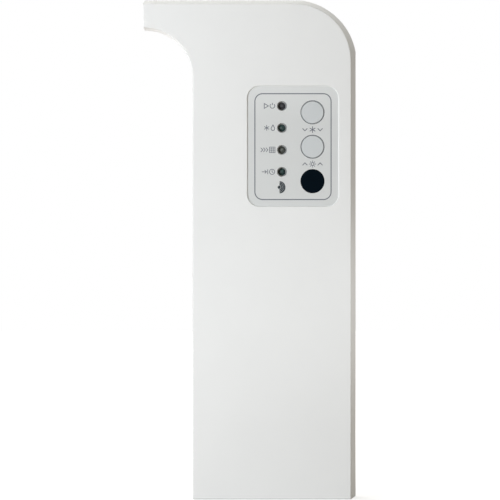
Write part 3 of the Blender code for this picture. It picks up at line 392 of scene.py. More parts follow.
# The receiver's sign is a dot with three arcs, in the same ink laid on twice, so it is darker
DOT_LEFT, DOT_DROP, DOT_RADIUS, WAVE_LINE, WAVE_REACH = 1.54, 8.93, 0.98, 0.77, 86
WAVE_RADII = (1.52, 2.37, 3.22)
dark_ink = new_finish("screen_ink_double")
place = add_node(dark_ink, "TexCoord", {}).outputs["Object"]
mesh_mark = add_node(dark_ink, "TexNoise", {"Vector": place, "Scale": 1 / (0.4 * MM), "Detail": 1})
ink_shade = add_node(dark_ink, "Mix", {0: mesh_mark.outputs["Fac"], 6: linear("#121D22"),
                                       7: linear("#1C282E")}, data_type="RGBA")
skin = add_node(dark_ink, "BsdfPrincipled", {"Base Color": ink_shade.outputs[2], "Roughness": 0.55,
                                             "IOR": 1.5})
add_node(dark_ink, "OutputMaterial", {"Surface": skin.outputs["BSDF"]})
lamp = node_middle("timer_led")
dot = (lamp[0] - DOT_LEFT, lamp[1] - DOT_DROP)
wave = bmesh.new()
spot(wave, dot, DOT_RADIUS, ink_front, ink_back, 16)
for radius in WAVE_RADII:
    strip(wave, arc(dot, radius, -WAVE_REACH, WAVE_REACH, 16), WAVE_LINE, ink_front, ink_back)
add_piece("printed_wave", wave, dark_ink)


# Lamps: four 5 mm LEDs, epoxy cast round a lead frame with a dark diffusing tint, standing on the board.
# They are unlit, so each hole shows a dim dome with the tint of its colour and the tinned leads behind.
def with_leads(finish, body_colour, body_gloss, lead_start, place, haze=0.0, shine=0.5):
    """Finish a moulded body, its leads tinned behind a depth in metres; haze scatters light inside it."""
    depth = add_node(finish, "SeparateXYZ", {0: place}).outputs["Y"]
    lead = add_node(finish, "Math", {0: depth, 1: lead_start}, operation="GREATER_THAN").outputs["Value"]
    colour = add_node(finish, "Mix", {0: lead, 6: body_colour, 7: linear("#C9C7C0")}, data_type="RGBA")
    polish = add_node(finish, "Mix", {0: lead, 2: body_gloss, 3: 0.28})
    skin = add_node(finish, "BsdfPrincipled", {
        "Base Color": colour.outputs[2], "Metallic": lead, "Roughness": polish.outputs[0], "IOR": 1.55,
        "Specular IOR Level": shine, "Subsurface Weight": haze, "Subsurface Scale": 3 * MM,
        "Subsurface Radius": (1, 1, 1)})
    add_node(finish, "OutputMaterial", {"Surface": skin.outputs["BSDF"]})


LED_RADIUS, LEAD_SHOWN = 2.5, 0.31
lead_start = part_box("circuit_board")[0].y - LEAD_SHOWN * MM
# Each lamp's deep tint, then the paler painted-light tint of its upper right edge
for name, deep, painted_lit_edge in (("run_led", "#4B4A4D", "#525155"), ("defrost_led", "#435856", "#495E5C"),
                        ("filter_led", "#646762", "#6B6E67"), ("timer_led", "#3C5250", "#425856")):
    # Tinted epoxy with painted light: each dome's upper right edge is coloured paler, standing in for light
    # that gathers on its far side
    tinted_epoxy = new_finish(name + "_tinted_epoxy")
    place = add_node(tinted_epoxy, "TexCoord", {}).outputs["Object"]
    across, up = node_middle(name)
    offset = add_node(tinted_epoxy, "VectorMath", {0: place, 1: (across * MM, 0, up * MM)},
                      operation="SUBTRACT")
    painted_light_side = add_node(tinted_epoxy, "VectorMath", {0: offset.outputs["Vector"], 1: (0.7, 0, 0.7)},
                     operation="DOT_PRODUCT")
    glow = add_node(tinted_epoxy, "MapRange", {
        "Value": painted_light_side.outputs["Value"], "From Min": 0.2 * LED_RADIUS * MM, "From Max": LED_RADIUS * MM},
        interpolation_type="SMOOTHSTEP")
    # Specks of diffusing filler, about 0.05 mm, drawn at 0.3 mm so that they show
    filler = add_node(tinted_epoxy, "TexNoise", {"Vector": place, "Scale": 1 / (0.3 * MM), "Detail": 1})
    tint = add_node(tinted_epoxy, "Mix", {0: glow.outputs["Result"], 6: linear(deep), 7: linear(painted_lit_edge)},
                    data_type="RGBA")
    cast = add_node(tinted_epoxy, "Mix", {0: filler.outputs["Fac"], 6: tint.outputs[2], 7: linear(deep)},
                    data_type="RGBA")
    with_leads(tinted_epoxy, cast.outputs[2], 0.3, lead_start, place, haze=1.0, shine=0.25)
    wear([name], tinted_epoxy)

# Lamp-hole lining: a grey film inside each lamp hole, painted shade that darkens the hole walls.
# Its left side is made paler, painted light that lifts the wall which the left soft box leaves in shade.
hole_lining_painted_shade = new_finish("hole_lining_painted_shade")
place = add_node(hole_lining_painted_shade, "TexCoord", {}).outputs["Object"]
lamp_column = node_middle("run_led")[0]
aside = add_node(hole_lining_painted_shade, "SeparateXYZ", {0: place}).outputs["X"]
painted_light_left = add_node(hole_lining_painted_shade, "MapRange", {"Value": aside, "From Min": (lamp_column + 0.2) * MM,
                                               "From Max": (lamp_column + 2.2) * MM})
spray = add_node(hole_lining_painted_shade, "TexNoise", {"Vector": place, "Scale": 1 / (0.4 * MM), "Detail": 2})
painted_shade_grey = add_node(hole_lining_painted_shade, "Mix", {0: spray.outputs["Fac"], 6: linear("#8A8C8C"),
                                           7: linear("#969898")}, data_type="RGBA")
shade = add_node(hole_lining_painted_shade, "Mix", {0: painted_light_left.outputs["Result"], 6: linear("#CED1D1"),
                                           7: painted_shade_grey.outputs[2]}, data_type="RGBA")
skin = add_node(hole_lining_painted_shade, "BsdfPrincipled", {"Base Color": shade.outputs[2], "Roughness": 0.75,
                                                     "IOR": 1.5})
add_node(hole_lining_painted_shade, "OutputMaterial", {"Surface": skin.outputs["BSDF"]})

# The film follows the sheet's straight hole and then the cover's tapered one
HOLE_RADIUS, HOLE_TAPER, FILM = 2.89, 0.7, 0.08
FILM_START, TAPER_START, FILM_END = 0.05, 0.8, 3.15
sheet_front = sheet_low.y / MM
film_outside = [(HOLE_RADIUS, FILM_START), (HOLE_RADIUS, TAPER_START), (HOLE_RADIUS - HOLE_TAPER, FILM_END)]
film_profile = [(radius, sheet_front + depth) for radius, depth in film_outside]
film_profile += [(radius - FILM, depth) for radius, depth in reversed(film_profile)]
for name in ("run_led", "defrost_led", "filter_led", "timer_led"):
    film = bmesh.new()
    turned(film, film_profile, node_middle(name), 40)
    add_piece(name.replace("_led", "_hole_lining"), film, hole_lining_painted_shade)


# Buttons: two round caps of ABS, moulded in a cooler grey than the cover, with a flange and keys behind.
# They slide in guides moulded behind the recess floor, and each pushes a tactile switch on the board.
satin_abs = new_finish("satin_abs")
place = add_node(satin_abs, "TexCoord", {}).outputs["Object"]
# Grain of about 0.25 mm, drawn at 0.7 mm so that it shows
grain = add_node(satin_abs, "TexNoise", {"Vector": place, "Scale": 1 / (0.7 * MM), "Detail": 2})
shade = add_node(satin_abs, "Mix", {0: grain.outputs["Fac"], 6: linear("#C8CDCF"), 7: linear("#CBD0D2")},
                 data_type="RGBA")
gloss = add_node(satin_abs, "MapRange", {"Value": grain.outputs["Fac"], "To Min": 0.3, "To Max": 0.46})
bump = add_node(satin_abs, "Bump", {"Height": grain.outputs["Fac"], "Strength": 0.15, "Distance": 0.01 * MM})
skin = add_node(satin_abs, "BsdfPrincipled", {"Base Color": shade.outputs[2], "IOR": 1.53,
                                              "Roughness": gloss.outputs["Result"],
                                              "Normal": bump.outputs["Normal"]})
add_node(satin_abs, "OutputMaterial", {"Surface": skin.outputs["BSDF"]})
wear(["cool_button", "heat_button"], satin_abs)


# Receiver window: a cast acrylic lens, dyed so dark that only infrared passes, and polished.
# Its flange seats behind the recess floor, and the light shield clamps it there.
def mottled_finish(name, patch_width, detail, colours, gloss, base):
    """Finish whose colour and gloss each run between two values, in patches of a width in millimetres."""
    finish = new_finish(name)
    place = add_node(finish, "TexCoord", {}).outputs["Object"]
    patches = add_node(finish, "TexNoise", {"Vector": place, "Scale": 1 / (patch_width * MM),
                                            "Detail": detail})
    shade = add_node(finish, "Mix", {0: patches.outputs["Fac"], 6: linear(colours[0]),
                                     7: linear(colours[1])}, data_type="RGBA")
    polish = add_node(finish, "MapRange", {"Value": patches.outputs["Fac"], "To Min": gloss[0],
                                           "To Max": gloss[1]})
    skin = add_node(finish, "BsdfPrincipled", {
        "Base Color": shade.outputs[2], "Roughness": polish.outputs["Result"], **base})
    add_node(finish, "OutputMaterial", {"Surface": skin.outputs["BSDF"]})
    return finish


# Wipe marks about 3 mm wide change the polish a little
smoked_acrylic = mottled_finish("smoked_acrylic", 3, 3, ("#010A12", "#020E18"), (0.08, 0.2),
                                {"IOR": 1.49, "Specular IOR Level": 0.03})
wear(["receiver_window"], smoked_acrylic)


# Light shield: black ABS moulding clipped between the lamps and the recess floor, a tube round each lamp.
# The buzzer's drum is moulded in the same black plastic, so both share its fine dull surface.
black_abs = new_finish("black_abs")
place = add_node(black_abs, "TexCoord", {}).outputs["Object"]
# Mould grain of about 0.2 mm, drawn at 0.6 mm so that it shows
grain = add_node(black_abs, "TexNoise", {"Vector": place, "Scale": 1 / (0.6 * MM), "Detail": 2})
shade = add_node(black_abs, "Mix", {0: grain.outputs["Fac"], 6: linear("#161617"), 7: linear("#1F1F21")},
                 data_type="RGBA")
gloss = add_node(black_abs, "MapRange", {"Value": grain.outputs["Fac"], "To Min": 0.4, "To Max": 0.6})
bump = add_node(black_abs, "Bump", {"Height": grain.outputs["Fac"], "Strength": 0.3, "Distance": 0.02 * MM})
skin = add_node(black_abs, "BsdfPrincipled", {"Base Color": shade.outputs[2], "IOR": 1.53,
                                              "Roughness": gloss.outputs["Result"],
                                              "Normal": bump.outputs["Normal"]})
add_node(black_abs, "OutputMaterial", {"Surface": skin.outputs["BSDF"]})
wear(["light_shield", "buzzer"], black_abs)


# Infrared receiver and tactile switches: stock parts, moulded in black epoxy and nylon on tinned leads.
# They stand on the front of the board, and their leads are soldered behind it.
for name, members, colour, gloss in (
        ("receiver_epoxy", ["infrared_receiver"], "#1C1C20", 0.25),
        ("switch_nylon", ["cool_switch", "heat_switch", "cool_plunger", "heat_plunger"], "#232325", 0.5)):
    moulded_black = new_finish(name)
    place = add_node(moulded_black, "TexCoord", {}).outputs["Object"]
    # Flow marks about 1 mm wide
    flow = add_node(moulded_black, "TexNoise", {"Vector": place, "Scale": 1 / (1 * MM), "Detail": 2})
    shade = add_node(moulded_black, "Mix", {0: flow.outputs["Fac"], 6: linear(colour), 7: linear("#2A2A2D")},
                     data_type="RGBA")
    with_leads(moulded_black, shade.outputs[2], gloss, lead_start, place)
    wear(members, moulded_black)


# Circuit board: 1.6 mm glass-fibre laminate, copper etched into tracks, under a green solder mask.
# It is routed to shape, so its edge shows the bare yellowish laminate. Four screws hold it on the posts.
board_low, board_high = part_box("circuit_board")
solder_mask = new_finish("solder_mask_laminate")
place = add_node(solder_mask, "TexCoord", {}).outputs["Object"]
# Glass cloth under the mask, about 0.5 mm a thread, drawn at 1 mm so that it shows. A wave turns 20 radians
# for each unit of its scale.
THREAD, WAVE_TURN = 1, 20
THREAD_SCALE = 1 / (WAVE_TURN * THREAD * MM) * math.pi
warp = add_node(solder_mask, "TexWave", {"Vector": place, "Scale": THREAD_SCALE, "Distortion": 0.5},
                bands_direction="X")
weft = add_node(solder_mask, "TexWave", {"Vector": place, "Scale": THREAD_SCALE, "Distortion": 0.5},
                bands_direction="Z")
cloth = add_node(solder_mask, "Math", {0: warp.outputs["Fac"], 1: weft.outputs["Fac"]}, operation="MULTIPLY")
mask = add_node(solder_mask, "Mix", {0: cloth.outputs["Value"], 6: linear("#14512F"), 7: linear("#1B5E38")},
                data_type="RGBA")
facing = add_node(solder_mask, "SeparateXYZ",
                  {0: add_node(solder_mask, "NewGeometry", {}).outputs["True Normal"]}).outputs["Y"]
flat = add_node(solder_mask, "Math", {0: facing}, operation="ABSOLUTE")
coated = add_node(solder_mask, "Math", {0: flat.outputs["Value"], 1: 0.5}, operation="GREATER_THAN")
shade = add_node(solder_mask, "Mix", {0: coated.outputs["Value"], 6: linear("#B3A566"), 7: mask.outputs[2]},
                 data_type="RGBA")
gloss = add_node(solder_mask, "Mix", {0: coated.outputs["Value"], 2: 0.8, 3: 0.3})
bump = add_node(solder_mask, "Bump", {"Height": cloth.outputs["Value"], "Strength": 0.2,
                                      "Distance": 0.02 * MM})
skin = add_node(solder_mask, "BsdfPrincipled", {
    "Base Color": shade.outputs[2], "Roughness": gloss.outputs[0], "IOR": 1.55,
    "Normal": bump.outputs["Normal"]})
add_node(solder_mask, "OutputMaterial", {"Surface": skin.outputs["BSDF"]})
wear(["circuit_board"], solder_mask)


# Copper tracks: etched copper under the solder mask, which lies raised and paler over it, on the rear only.
# They join the lamps, switches, buzzer and receiver to the driver chip and to the wire header.
TRACK_WIDTH, TRACK_LIFT, TRACK_EASE = 0.55, 0.05, 0.8
LEAD_HALF, LEG_ACROSS, LEG_UP = 1.27, 3.0, 2.25
CHIP_LEG_ACROSS, CHIP_LEG_PITCH, BUZZER_LEAD_HALF, RESISTOR_END = 2.75, 1.17, 3.25, 1.4
LANE_START, LANE_STEP, CHIP_LANE, TEST_PAD_REACH, TEST_PAD_RADIUS = 3.4, 1.1, 1.2, 4.2, 0.9
COMMON_REACH, SWITCH_REACH, SUPPLY_REACH, EDGE_INSET, LOW_DROP, LEG_INSET = 3.7, 5.8, 5.5, 1.7, 3.6, 0.25
COMMON_RISE, SWITCH_RISE, MASK_GAP, TRACK_STEP, TEST_PAD_LIFT = 5, 3, 0.002, 0.0005, 0.07
# Thicker and thinner mask in patches of about 2 mm
masked_copper = mottled_finish("solder_mask_over_copper", 2, 2, ("#2B7A4B", "#378958"), (0.24, 0.36),
                               {"IOR": 1.55})

lamp_spots = [node_middle(name) for name in ("run_led", "defrost_led", "filter_led", "timer_led")]
resistor_spots = [node_middle("lamp_resistor_%d" % (count + 1)) for count in range(4)]
pin_spots = sorted(node_middle("header_pin_%d" % (count + 1)) for count in range(5))
switch_spots = [node_middle("cool_switch"), node_middle("heat_switch")]
buzzer_spot = node_middle("buzzer")
can_spot = node_middle("smoothing_capacitor")
chip_spot = node_middle("driver_chip")
receiver_spot = (node_middle("infrared_receiver")[0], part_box("infrared_receiver")[0].z / MM + LEG_INSET)
pin_row = pin_spots[0][1]
common_lane = resistor_spots[0][0] + COMMON_REACH
switch_lane = switch_spots[0][0] - SWITCH_REACH
supply_lane = switch_spots[0][0] + SUPPLY_REACH
edge_lane = board_low.x / MM + EDGE_INSET
low_row = receiver_spot[1] - LOW_DROP
chip_left, chip_right = chip_spot[0] - CHIP_LEG_ACROSS, chip_spot[0] + CHIP_LEG_ACROSS
last_leg = chip_spot[1] - 3 * CHIP_LEG_PITCH
first_leg = chip_spot[1] + 3 * CHIP_LEG_PITCH

routes = []
for count, (lamp, resistor) in enumerate(zip(lamp_spots, resistor_spots)):
    routes.append([(lamp[0] + LEAD_HALF, lamp[1]), (resistor[0] - RESISTOR_END, lamp[1])])
    routes.append([(resistor[0] + RESISTOR_END, lamp[1]), (common_lane, lamp[1])])
    if lamp[1] > first_leg:
        lane = lamp[0] - LEAD_HALF - LANE_START + LANE_STEP * count
        leg = first_leg - CHIP_LEG_PITCH * count
        routes.append([(lamp[0] - LEAD_HALF, lamp[1]), (lane, lamp[1]), (lane, leg), (chip_right, leg)])
    else:
        routes.append([(lamp[0] - LEAD_HALF, lamp[1]), (chip_right, lamp[1])])
common_row, switch_row = pin_row + COMMON_RISE, pin_row + SWITCH_RISE
routes.append([(common_lane, lamp_spots[0][1]), (common_lane, common_row), (pin_spots[3][0], common_row),
               pin_spots[3]])
for across, up in switch_spots:
    drop = up - LEG_UP
    routes.append([(across - LEG_ACROSS, drop), (switch_lane, drop)])
    routes.append([(across + LEG_ACROSS, drop), (supply_lane, drop)])
top_leg = switch_spots[0][1] - LEG_UP
routes.append([(switch_lane, top_leg), (switch_lane, switch_row), (pin_spots[4][0], switch_row),
               pin_spots[4]])
receiver_left, receiver_right = [receiver_spot[0] + hand * 2 * LEAD_HALF for hand in (-1, 1)]
routes.append([(supply_lane, top_leg), (supply_lane, receiver_spot[1]), (receiver_right, receiver_spot[1])])
routes.append([(receiver_left, receiver_spot[1]), (receiver_left, low_row), (pin_spots[2][0], low_row),
               pin_spots[2]])
test_pad = (receiver_spot[0] + TEST_PAD_REACH, low_row)
routes.append([receiver_spot, (receiver_spot[0], low_row), test_pad])
buzzer_left, buzzer_right = [buzzer_spot[0] + hand * BUZZER_LEAD_HALF for hand in (-1, 1)]
routes.append([(buzzer_right, buzzer_spot[1]), (buzzer_right, can_spot[1]),
               (can_spot[0] + LEAD_HALF, can_spot[1])])
routes.append([(buzzer_left, buzzer_spot[1]), (edge_lane, buzzer_spot[1]), (edge_lane, chip_spot[1]),
               (chip_left, chip_spot[1])])
chip_lane = chip_left - CHIP_LANE
routes.append([(can_spot[0] - LEAD_HALF, can_spot[1]), (chip_lane, can_spot[1]), (chip_lane, first_leg),
               (chip_left, first_leg)])
routes.append([(chip_right, last_leg), (pin_spots[1][0], last_leg), pin_spots[1]])
routes.append([(chip_left, last_leg), (chip_lane, last_leg), (chip_lane, pin_row), pin_spots[0]])


def eased(path, cut):
    """Cut each corner of a path at 45 degrees, as board tracks are drawn."""
    points = [path[0]]
    for before, corner, after in zip(path, path[1:], path[2:]):
        for end in (before, after):
            way = Vector(end) - Vector(corner)
            points.append(tuple(Vector(corner) + way.normalized() * min(cut, way.length / 2)))
    return points + [path[-1]]


tracks = bmesh.new()
board_back = board_high.y
for count, route in enumerate(routes):
    rise = (TRACK_LIFT + TRACK_STEP * count) * MM
    strip(tracks, eased(route, TRACK_EASE), TRACK_WIDTH, board_back + MASK_GAP * MM, board_back + rise)
spot(tracks, test_pad, TEST_PAD_RADIUS, board_back + MASK_GAP * MM, board_back + TEST_PAD_LIFT * MM, 20)
add_piece("copper_tracks", tracks, masked_copper)


# Printed outlines: white ink, screen printed on the rear of the board, a line round each part fitted there.
# They show the fitter where each part goes. Nothing is written beside them.
LEGEND_LINE, LEGEND_GAP, LEGEND_LIFT = 0.3, 0.004, 0.09
legend_ink = new_finish("legend_ink")
place = add_node(legend_ink, "TexCoord", {}).outputs["Object"]
# Mesh of the screen, about 0.1 mm, drawn at 0.4 mm so that it shows
mesh_mark = add_node(legend_ink, "TexNoise", {"Vector": place, "Scale": 1 / (0.4 * MM), "Detail": 1})
shade = add_node(legend_ink, "Mix", {0: mesh_mark.outputs["Fac"], 6: linear("#D5D8D0"),
                                     7: linear("#E4E6E0")}, data_type="RGBA")
skin = add_node(legend_ink, "BsdfPrincipled", {"Base Color": shade.outputs[2], "Roughness": 0.6, "IOR": 1.5})
add_node(legend_ink, "OutputMaterial", {"Surface": skin.outputs["BSDF"]})
# Each box is its width, height and corner radius
CHIP_BOX, HEADER_BOX, RESISTOR_BOX = (7.4, 10.0, 0.4), (16.4, 7.2, 0.4), (4.6, 2.5, 0.3)
BUZZER_RING, CAN_RING = 6.6, 3.7
outlines = [round_box(chip_spot, *CHIP_BOX), round_box(node_middle("wire_header"), *HEADER_BOX),
            arc(buzzer_spot, BUZZER_RING, 0, 360, 48)[:-1], arc(can_spot, CAN_RING, 0, 360, 36)[:-1]]
outlines += [round_box(resistor, *RESISTOR_BOX) for resistor in resistor_spots]
legend = bmesh.new()
for outline in outlines:
    strip(legend, outline, LEGEND_LINE, board_back + LEGEND_GAP * MM, board_back + LEGEND_LIFT * MM,
          closed=True)
add_piece("printed_outlines", legend, legend_ink)


# Solder: tin alloy, dipped and cooled in a hollow cone round every lead that comes through the board.
# Leads of the lamps, switches and receiver are soldered behind, and those of the rear parts in front.
# Frosted patches about 0.4 mm wide where the alloy froze last
solder_alloy = mottled_finish("solder_alloy", 0.4, 2, ("#B4B6B6", "#CFD0CF"), (0.18, 0.4),
                              {"Metallic": 1.0})

CONE = ((0.95, 0.06), (0.64, 0.28), (0.47, 0.65), (0.4, 1.0), (0.22, 1.0), (0.22, 0.06))
rear_leads = [(lamp[0] + hand * LEAD_HALF, lamp[1]) for lamp in lamp_spots for hand in (-1, 1)]
rear_leads += [(across + hand * LEG_ACROSS, up + rise * LEG_UP) for across, up in switch_spots
               for hand in (-1, 1) for rise in (-1, 1)]
rear_leads += [(receiver_spot[0] + step * 2 * LEAD_HALF, receiver_spot[1]) for step in (-1, 0, 1)]
front_leads = list(pin_spots)
front_leads += [(buzzer_spot[0] + hand * BUZZER_LEAD_HALF, buzzer_spot[1]) for hand in (-1, 1)]
front_leads += [(can_spot[0] + hand * LEAD_HALF, can_spot[1]) for hand in (-1, 1)]
for name, leads, face, way in (("rear_solder", rear_leads, board_high.y / MM, 1),
                               ("front_solder", front_leads, board_low.y / MM, -1)):
    solder = bmesh.new()
    for lead in leads:
        turned(solder, [(radius, face + way * height) for radius, height in CONE], lead, 16)
    add_piece(name, solder, solder_alloy)


# Wire header and pins: natural nylon shroud with tin-plated brass pins, where the unit's harness plugs in.
# The pins are pressed through the shroud's floor and soldered on the front of the board.
# Undyed nylon is milky and a little yellow, with flow marks about 2 mm wide
natural_nylon = mottled_finish("natural_nylon", 2, 2, ("#DAD6C6", "#E5E1D3"), (0.35, 0.5),
                               {"IOR": 1.53})
wear(["wire_header"], natural_nylon)

# Plated tin is a warm bright grey, dulled in spangles about 0.5 mm wide
tinned_metal = mottled_finish("tin_plate", 0.5, 2, ("#BDBBB4", "#D3D1CB"), (0.2, 0.35),
                              {"Metallic": 1.0})
wear(["header_pin_%d" % (count + 1) for count in range(5)], tinned_metal)


# Driver chip: a block of black epoxy, moulded round a lead frame with fourteen legs of tinned copper.
# It is soldered flat on the rear of the board by its bent legs, and it switches the lamps and the buzzer.
CHIP_HALF_WIDTH, LEG_MARGIN = 1.95, 0.01
chip_epoxy = new_finish("chip_epoxy")
place = add_node(chip_epoxy, "TexCoord", {}).outputs["Object"]
across = add_node(chip_epoxy, "SeparateXYZ", {0: place}).outputs["X"]
from_middle = add_node(chip_epoxy, "Math", {0: across, 1: chip_spot[0] * MM}, operation="SUBTRACT")
apart = add_node(chip_epoxy, "Math", {0: from_middle.outputs["Value"]}, operation="ABSOLUTE")
leg = add_node(chip_epoxy, "Math", {0: apart.outputs["Value"], 1: (CHIP_HALF_WIDTH + LEG_MARGIN) * MM},
               operation="GREATER_THAN").outputs["Value"]
# Specks of glass filler, about 0.05 mm, drawn at 0.3 mm so that they show
filler = add_node(chip_epoxy, "TexNoise", {"Vector": place, "Scale": 1 / (0.3 * MM), "Detail": 2})
body = add_node(chip_epoxy, "Mix", {0: filler.outputs["Fac"], 6: linear("#1D1D1F"), 7: linear("#29292B")},
                data_type="RGBA")
shade = add_node(chip_epoxy, "Mix", {0: leg, 6: body.outputs[2], 7: linear("#C9C7C0")}, data_type="RGBA")
gloss = add_node(chip_epoxy, "Mix", {0: leg, 2: 0.55, 3: 0.28})
skin = add_node(chip_epoxy, "BsdfPrincipled", {"Base Color": shade.outputs[2], "Metallic": leg,
                                               "Roughness": gloss.outputs[0], "IOR": 1.55})
add_node(chip_epoxy, "OutputMaterial", {"Surface": skin.outputs["BSDF"]})
wear(["driver_chip"], chip_epoxy)


# Smoothing capacitor: a drawn aluminium can in a dark blue shrink sleeve, with a pale stripe on one side.
# Its end is left bare. It stands on the rear of the board and steadies the chip's supply.
STRIPE_START, BARE_END = 2.4, 0.05
can_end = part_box("smoothing_capacitor")[1].y
capacitor_sleeve = new_finish("shrink_sleeve_on_aluminium")
place = add_node(capacitor_sleeve, "TexCoord", {}).outputs["Object"]
split = add_node(capacitor_sleeve, "SeparateXYZ", {0: place})
bare = add_node(capacitor_sleeve, "Math", {0: split.outputs["Y"], 1: can_end - BARE_END * MM},
                operation="GREATER_THAN").outputs["Value"]
striped = add_node(capacitor_sleeve, "Math", {0: split.outputs["X"], 1: (can_spot[0] + STRIPE_START) * MM},
                   operation="GREATER_THAN").outputs["Value"]
# The sleeve's dye is uneven in patches about 1.5 mm wide, where it shrank
flow = add_node(capacitor_sleeve, "TexNoise", {"Vector": place, "Scale": 1 / (1.5 * MM), "Detail": 2})
sleeve = add_node(capacitor_sleeve, "Mix", {0: flow.outputs["Fac"], 6: linear("#1C2638"),
                                            7: linear("#243048")}, data_type="RGBA")
banded = add_node(capacitor_sleeve, "Mix", {0: striped, 6: sleeve.outputs[2], 7: linear("#A9AFB8")},
                  data_type="RGBA")
shade = add_node(capacitor_sleeve, "Mix", {0: bare, 6: banded.outputs[2], 7: linear("#C4C6C8")},
                 data_type="RGBA")
skin = add_node(capacitor_sleeve, "BsdfPrincipled", {"Base Color": shade.outputs[2], "Metallic": bare,
                                                     "Roughness": 0.32, "IOR": 1.53})
add_node(capacitor_sleeve, "OutputMaterial", {"Surface": skin.outputs["BSDF"]})
wear(["smoothing_capacitor"], capacitor_sleeve)


# Lamp resistors: small ceramic chips under a dark glaze, with tinned ends, one in line with each lamp.
# They are soldered flat on the rear of the board by those ends.
TINNED_FROM = 1.1
for count in range(4):
    name = "lamp_resistor_%d" % (count + 1)
    chip_resistor = new_finish(name + "_ceramic")
    place = add_node(chip_resistor, "TexCoord", {}).outputs["Object"]
    across = add_node(chip_resistor, "SeparateXYZ", {0: place}).outputs["X"]
    from_middle = add_node(chip_resistor, "Math", {0: across, 1: node_middle(name)[0] * MM},
                           operation="SUBTRACT")
    apart = add_node(chip_resistor, "Math", {0: from_middle.outputs["Value"]}, operation="ABSOLUTE")
    end = add_node(chip_resistor, "Math", {0: apart.outputs["Value"], 1: TINNED_FROM * MM},
                   operation="GREATER_THAN").outputs["Value"]
    # The glaze is uneven in patches about 0.6 mm wide
    glaze = add_node(chip_resistor, "TexNoise", {"Vector": place, "Scale": 1 / (0.6 * MM), "Detail": 2})
    body = add_node(chip_resistor, "Mix", {0: glaze.outputs["Fac"], 6: linear("#18181A"),
                                           7: linear("#242427")}, data_type="RGBA")
    shade = add_node(chip_resistor, "Mix", {0: end, 6: body.outputs[2], 7: linear("#C9C7C0")},
                     data_type="RGBA")
    skin = add_node(chip_resistor, "BsdfPrincipled", {"Base Color": shade.outputs[2], "Metallic": end,
                                                      "Roughness": 0.3, "IOR": 1.6})
    add_node(chip_resistor, "OutputMaterial", {"Surface": skin.outputs["BSDF"]})
    wear([name], chip_resistor)


# Board screws: four pan-head steel screws, zinc plated, which cut their own thread in the cover's posts.
# They clamp the board there by its corners.
# The zinc is bright grey, with spangles about 0.8 mm wide
zinc_plate = mottled_finish("zinc_plated_steel", 0.8, 3, ("#A9ABAB", "#C6C8C6"), (0.25, 0.42),
                            {"Metallic": 1.0})
wear(["board_screw_%d" % (count + 1) for count in range(4)], zinc_plate)


# Studio: a paper floor under the cover's foot, a white surround, and soft light from the left and in front.
# The floor shows white to the camera and to reflections, a little less so at the foot, where it still takes
# the cover's shadow. Its own tone is a warm grey, so that little light comes up from below.
def seen_directly(finish):
    """1 for rays that show the studio to the camera, in gloss or through glass, and 0 for its light."""
    path = add_node(finish, "LightPath", {})
    seen = path.outputs["Is Camera Ray"]
    for kind in ("Is Glossy Ray", "Is Transmission Ray"):
        either = add_node(finish, "Math", {0: seen, 1: path.outputs[kind]}, operation="MAXIMUM")
        seen = either.outputs["Value"]
    return seen


FLOOR_HALF, FLOOR_GAP = 4, 0.1
floor_mesh = bmesh.new()
bmesh.ops.create_grid(floor_mesh, x_segments=1, y_segments=1, size=FLOOR_HALF)
mesh = bpy.data.meshes.new("studio_floor")
floor_mesh.to_mesh(mesh)
floor_mesh.free()
floor = bpy.data.objects.new("studio_floor", mesh)
floor.location.z = cad_low.z - FLOOR_GAP * MM
bpy.context.scene.collection.objects.link(floor)
white_sweep = new_finish("white_paper_sweep")
seen = seen_directly(white_sweep)
ground = add_node(white_sweep, "TexCoord", {}).outputs["Object"]
from_foot = add_node(white_sweep, "VectorMath", {0: ground}, operation="LENGTH")
white = add_node(white_sweep, "MapRange", {"Value": from_foot.outputs["Value"], "From Min": 0.08,
                                           "From Max": 0.6, "To Min": 0.73, "To Max": 1.0})
lift = add_node(white_sweep, "Math", {0: seen, 1: white.outputs["Result"]},
                operation="MULTIPLY")
glow = add_node(white_sweep, "Emission", {"Color": (1, 1, 1, 1), "Strength": lift.outputs["Value"]})
# Cloudy formation of the paper, patches about 25 mm wide
fibres = add_node(white_sweep, "TexNoise", {"Scale": 1 / (25 * MM), "Detail": 2})
paper = add_node(white_sweep, "Mix", {0: fibres.outputs["Fac"], 6: linear("#B6ACA0"), 7: linear("#BBB1A5")},
                 data_type="RGBA")
shown = add_node(white_sweep, "Mix", {0: seen, 6: paper.outputs[2], 7: linear("#B2B2B1")},
                 data_type="RGBA")
matt = add_node(white_sweep, "BsdfDiffuse", {"Color": shown.outputs[2]})
both = add_node(white_sweep, "AddShader", {0: matt.outputs["BSDF"], 1: glow.outputs["Emission"]})
add_node(white_sweep, "OutputMaterial", {"Surface": both.outputs["Shader"]})
mesh.materials.append(white_sweep)

world = bpy.data.worlds.new("white_surround")
bpy.context.scene.world = world
world.use_nodes = True
world.node_tree.nodes.clear()
seen = seen_directly(world)
strength = add_node(world, "MapRange", {"Value": seen, "To Min": 0.36, "To Max": 1.0})
tone = add_node(world, "Mix", {0: seen, 6: linear("#FFF8EA"), 7: (1, 1, 1, 1)},
                data_type="RGBA")
surround = add_node(world, "Background", {"Color": tone.outputs[2], "Strength": strength.outputs["Result"]})
add_node(world, "OutputWorld", {"Surface": surround.outputs["Background"]})


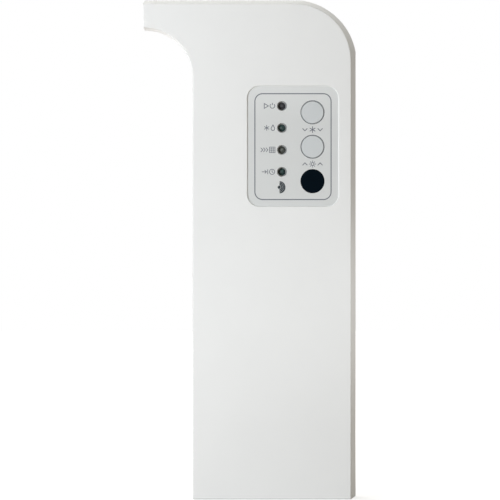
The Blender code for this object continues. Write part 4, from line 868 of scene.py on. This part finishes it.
def add_lamp(name, location, target, power, colour, size=0.0, cone=0.0):
    """Square soft box aimed at a point, or a soft-edged spot lamp where a cone in degrees is given."""
    light = bpy.data.lights.new(name, "SPOT" if cone else "AREA")
    light.energy = power
    light.color = linear(colour)[:3]
    if cone:
        light.spot_size = math.radians(cone)
        light.spot_blend = 1
        light.shadow_soft_size = 0.03
    else:
        light.size = size
    lamp = bpy.data.objects.new(name, light)
    lamp.location = location
    lamp.rotation_euler = (Vector(target) - Vector(location)).to_track_quat("-Z", "Y").to_euler()
    bpy.context.scene.collection.objects.link(lamp)


# The left box lights the face. One spot fills the right wall, and a low one fills the arch from below.
middle = (cad_low + cad_high) / 2
add_lamp("left_soft_box", (-0.62, -0.75, 0.16), middle, 7.95, "#F3F8FF", size=0.35)
add_lamp("top_soft_box", (-0.05, 0.12, 1.2), middle, 2.2, "#FFFFFF", size=0.4)
add_lamp("right_spot", (0.48, -0.14, 0.16), (0.062, -0.006, 0.115), 1.75, "#FFFFFF", cone=17)
add_lamp("arch_spot", (-0.28, -0.03, 0.035), (-0.05, 0.0, 0.266), 1.2, "#FFFFFF", cone=15)
add_lamp("rear_soft_box", (-0.45, 1.05, 0.95), middle, 6.5, "#FFFFFF", size=0.5)


# Camera: straight in front of the face and far back, with a long lens, so that the walls hardly spread.
# Its frame is as wide as the photograph's.
FRAME_WIDTH, CAMERA_DISTANCE, CAMERA_SIDE, CAMERA_HEIGHT, SENSOR_WIDTH = 289.0, 1950.0, -0.1, 144.1, 36
camera_lens = bpy.data.cameras.new("front_camera")
camera_lens.sensor_width = SENSOR_WIDTH
camera_lens.lens = SENSOR_WIDTH * CAMERA_DISTANCE / FRAME_WIDTH
camera = bpy.data.objects.new("front_camera", camera_lens)
camera.location = (CAMERA_SIDE * MM, cad_low.y - CAMERA_DISTANCE * MM, CAMERA_HEIGHT * MM)
camera.rotation_euler = (math.radians(90), 0, 0)
bpy.context.scene.collection.objects.link(camera)
bpy.context.scene.camera = camera
bpy.context.scene.view_settings.view_transform = "Standard"
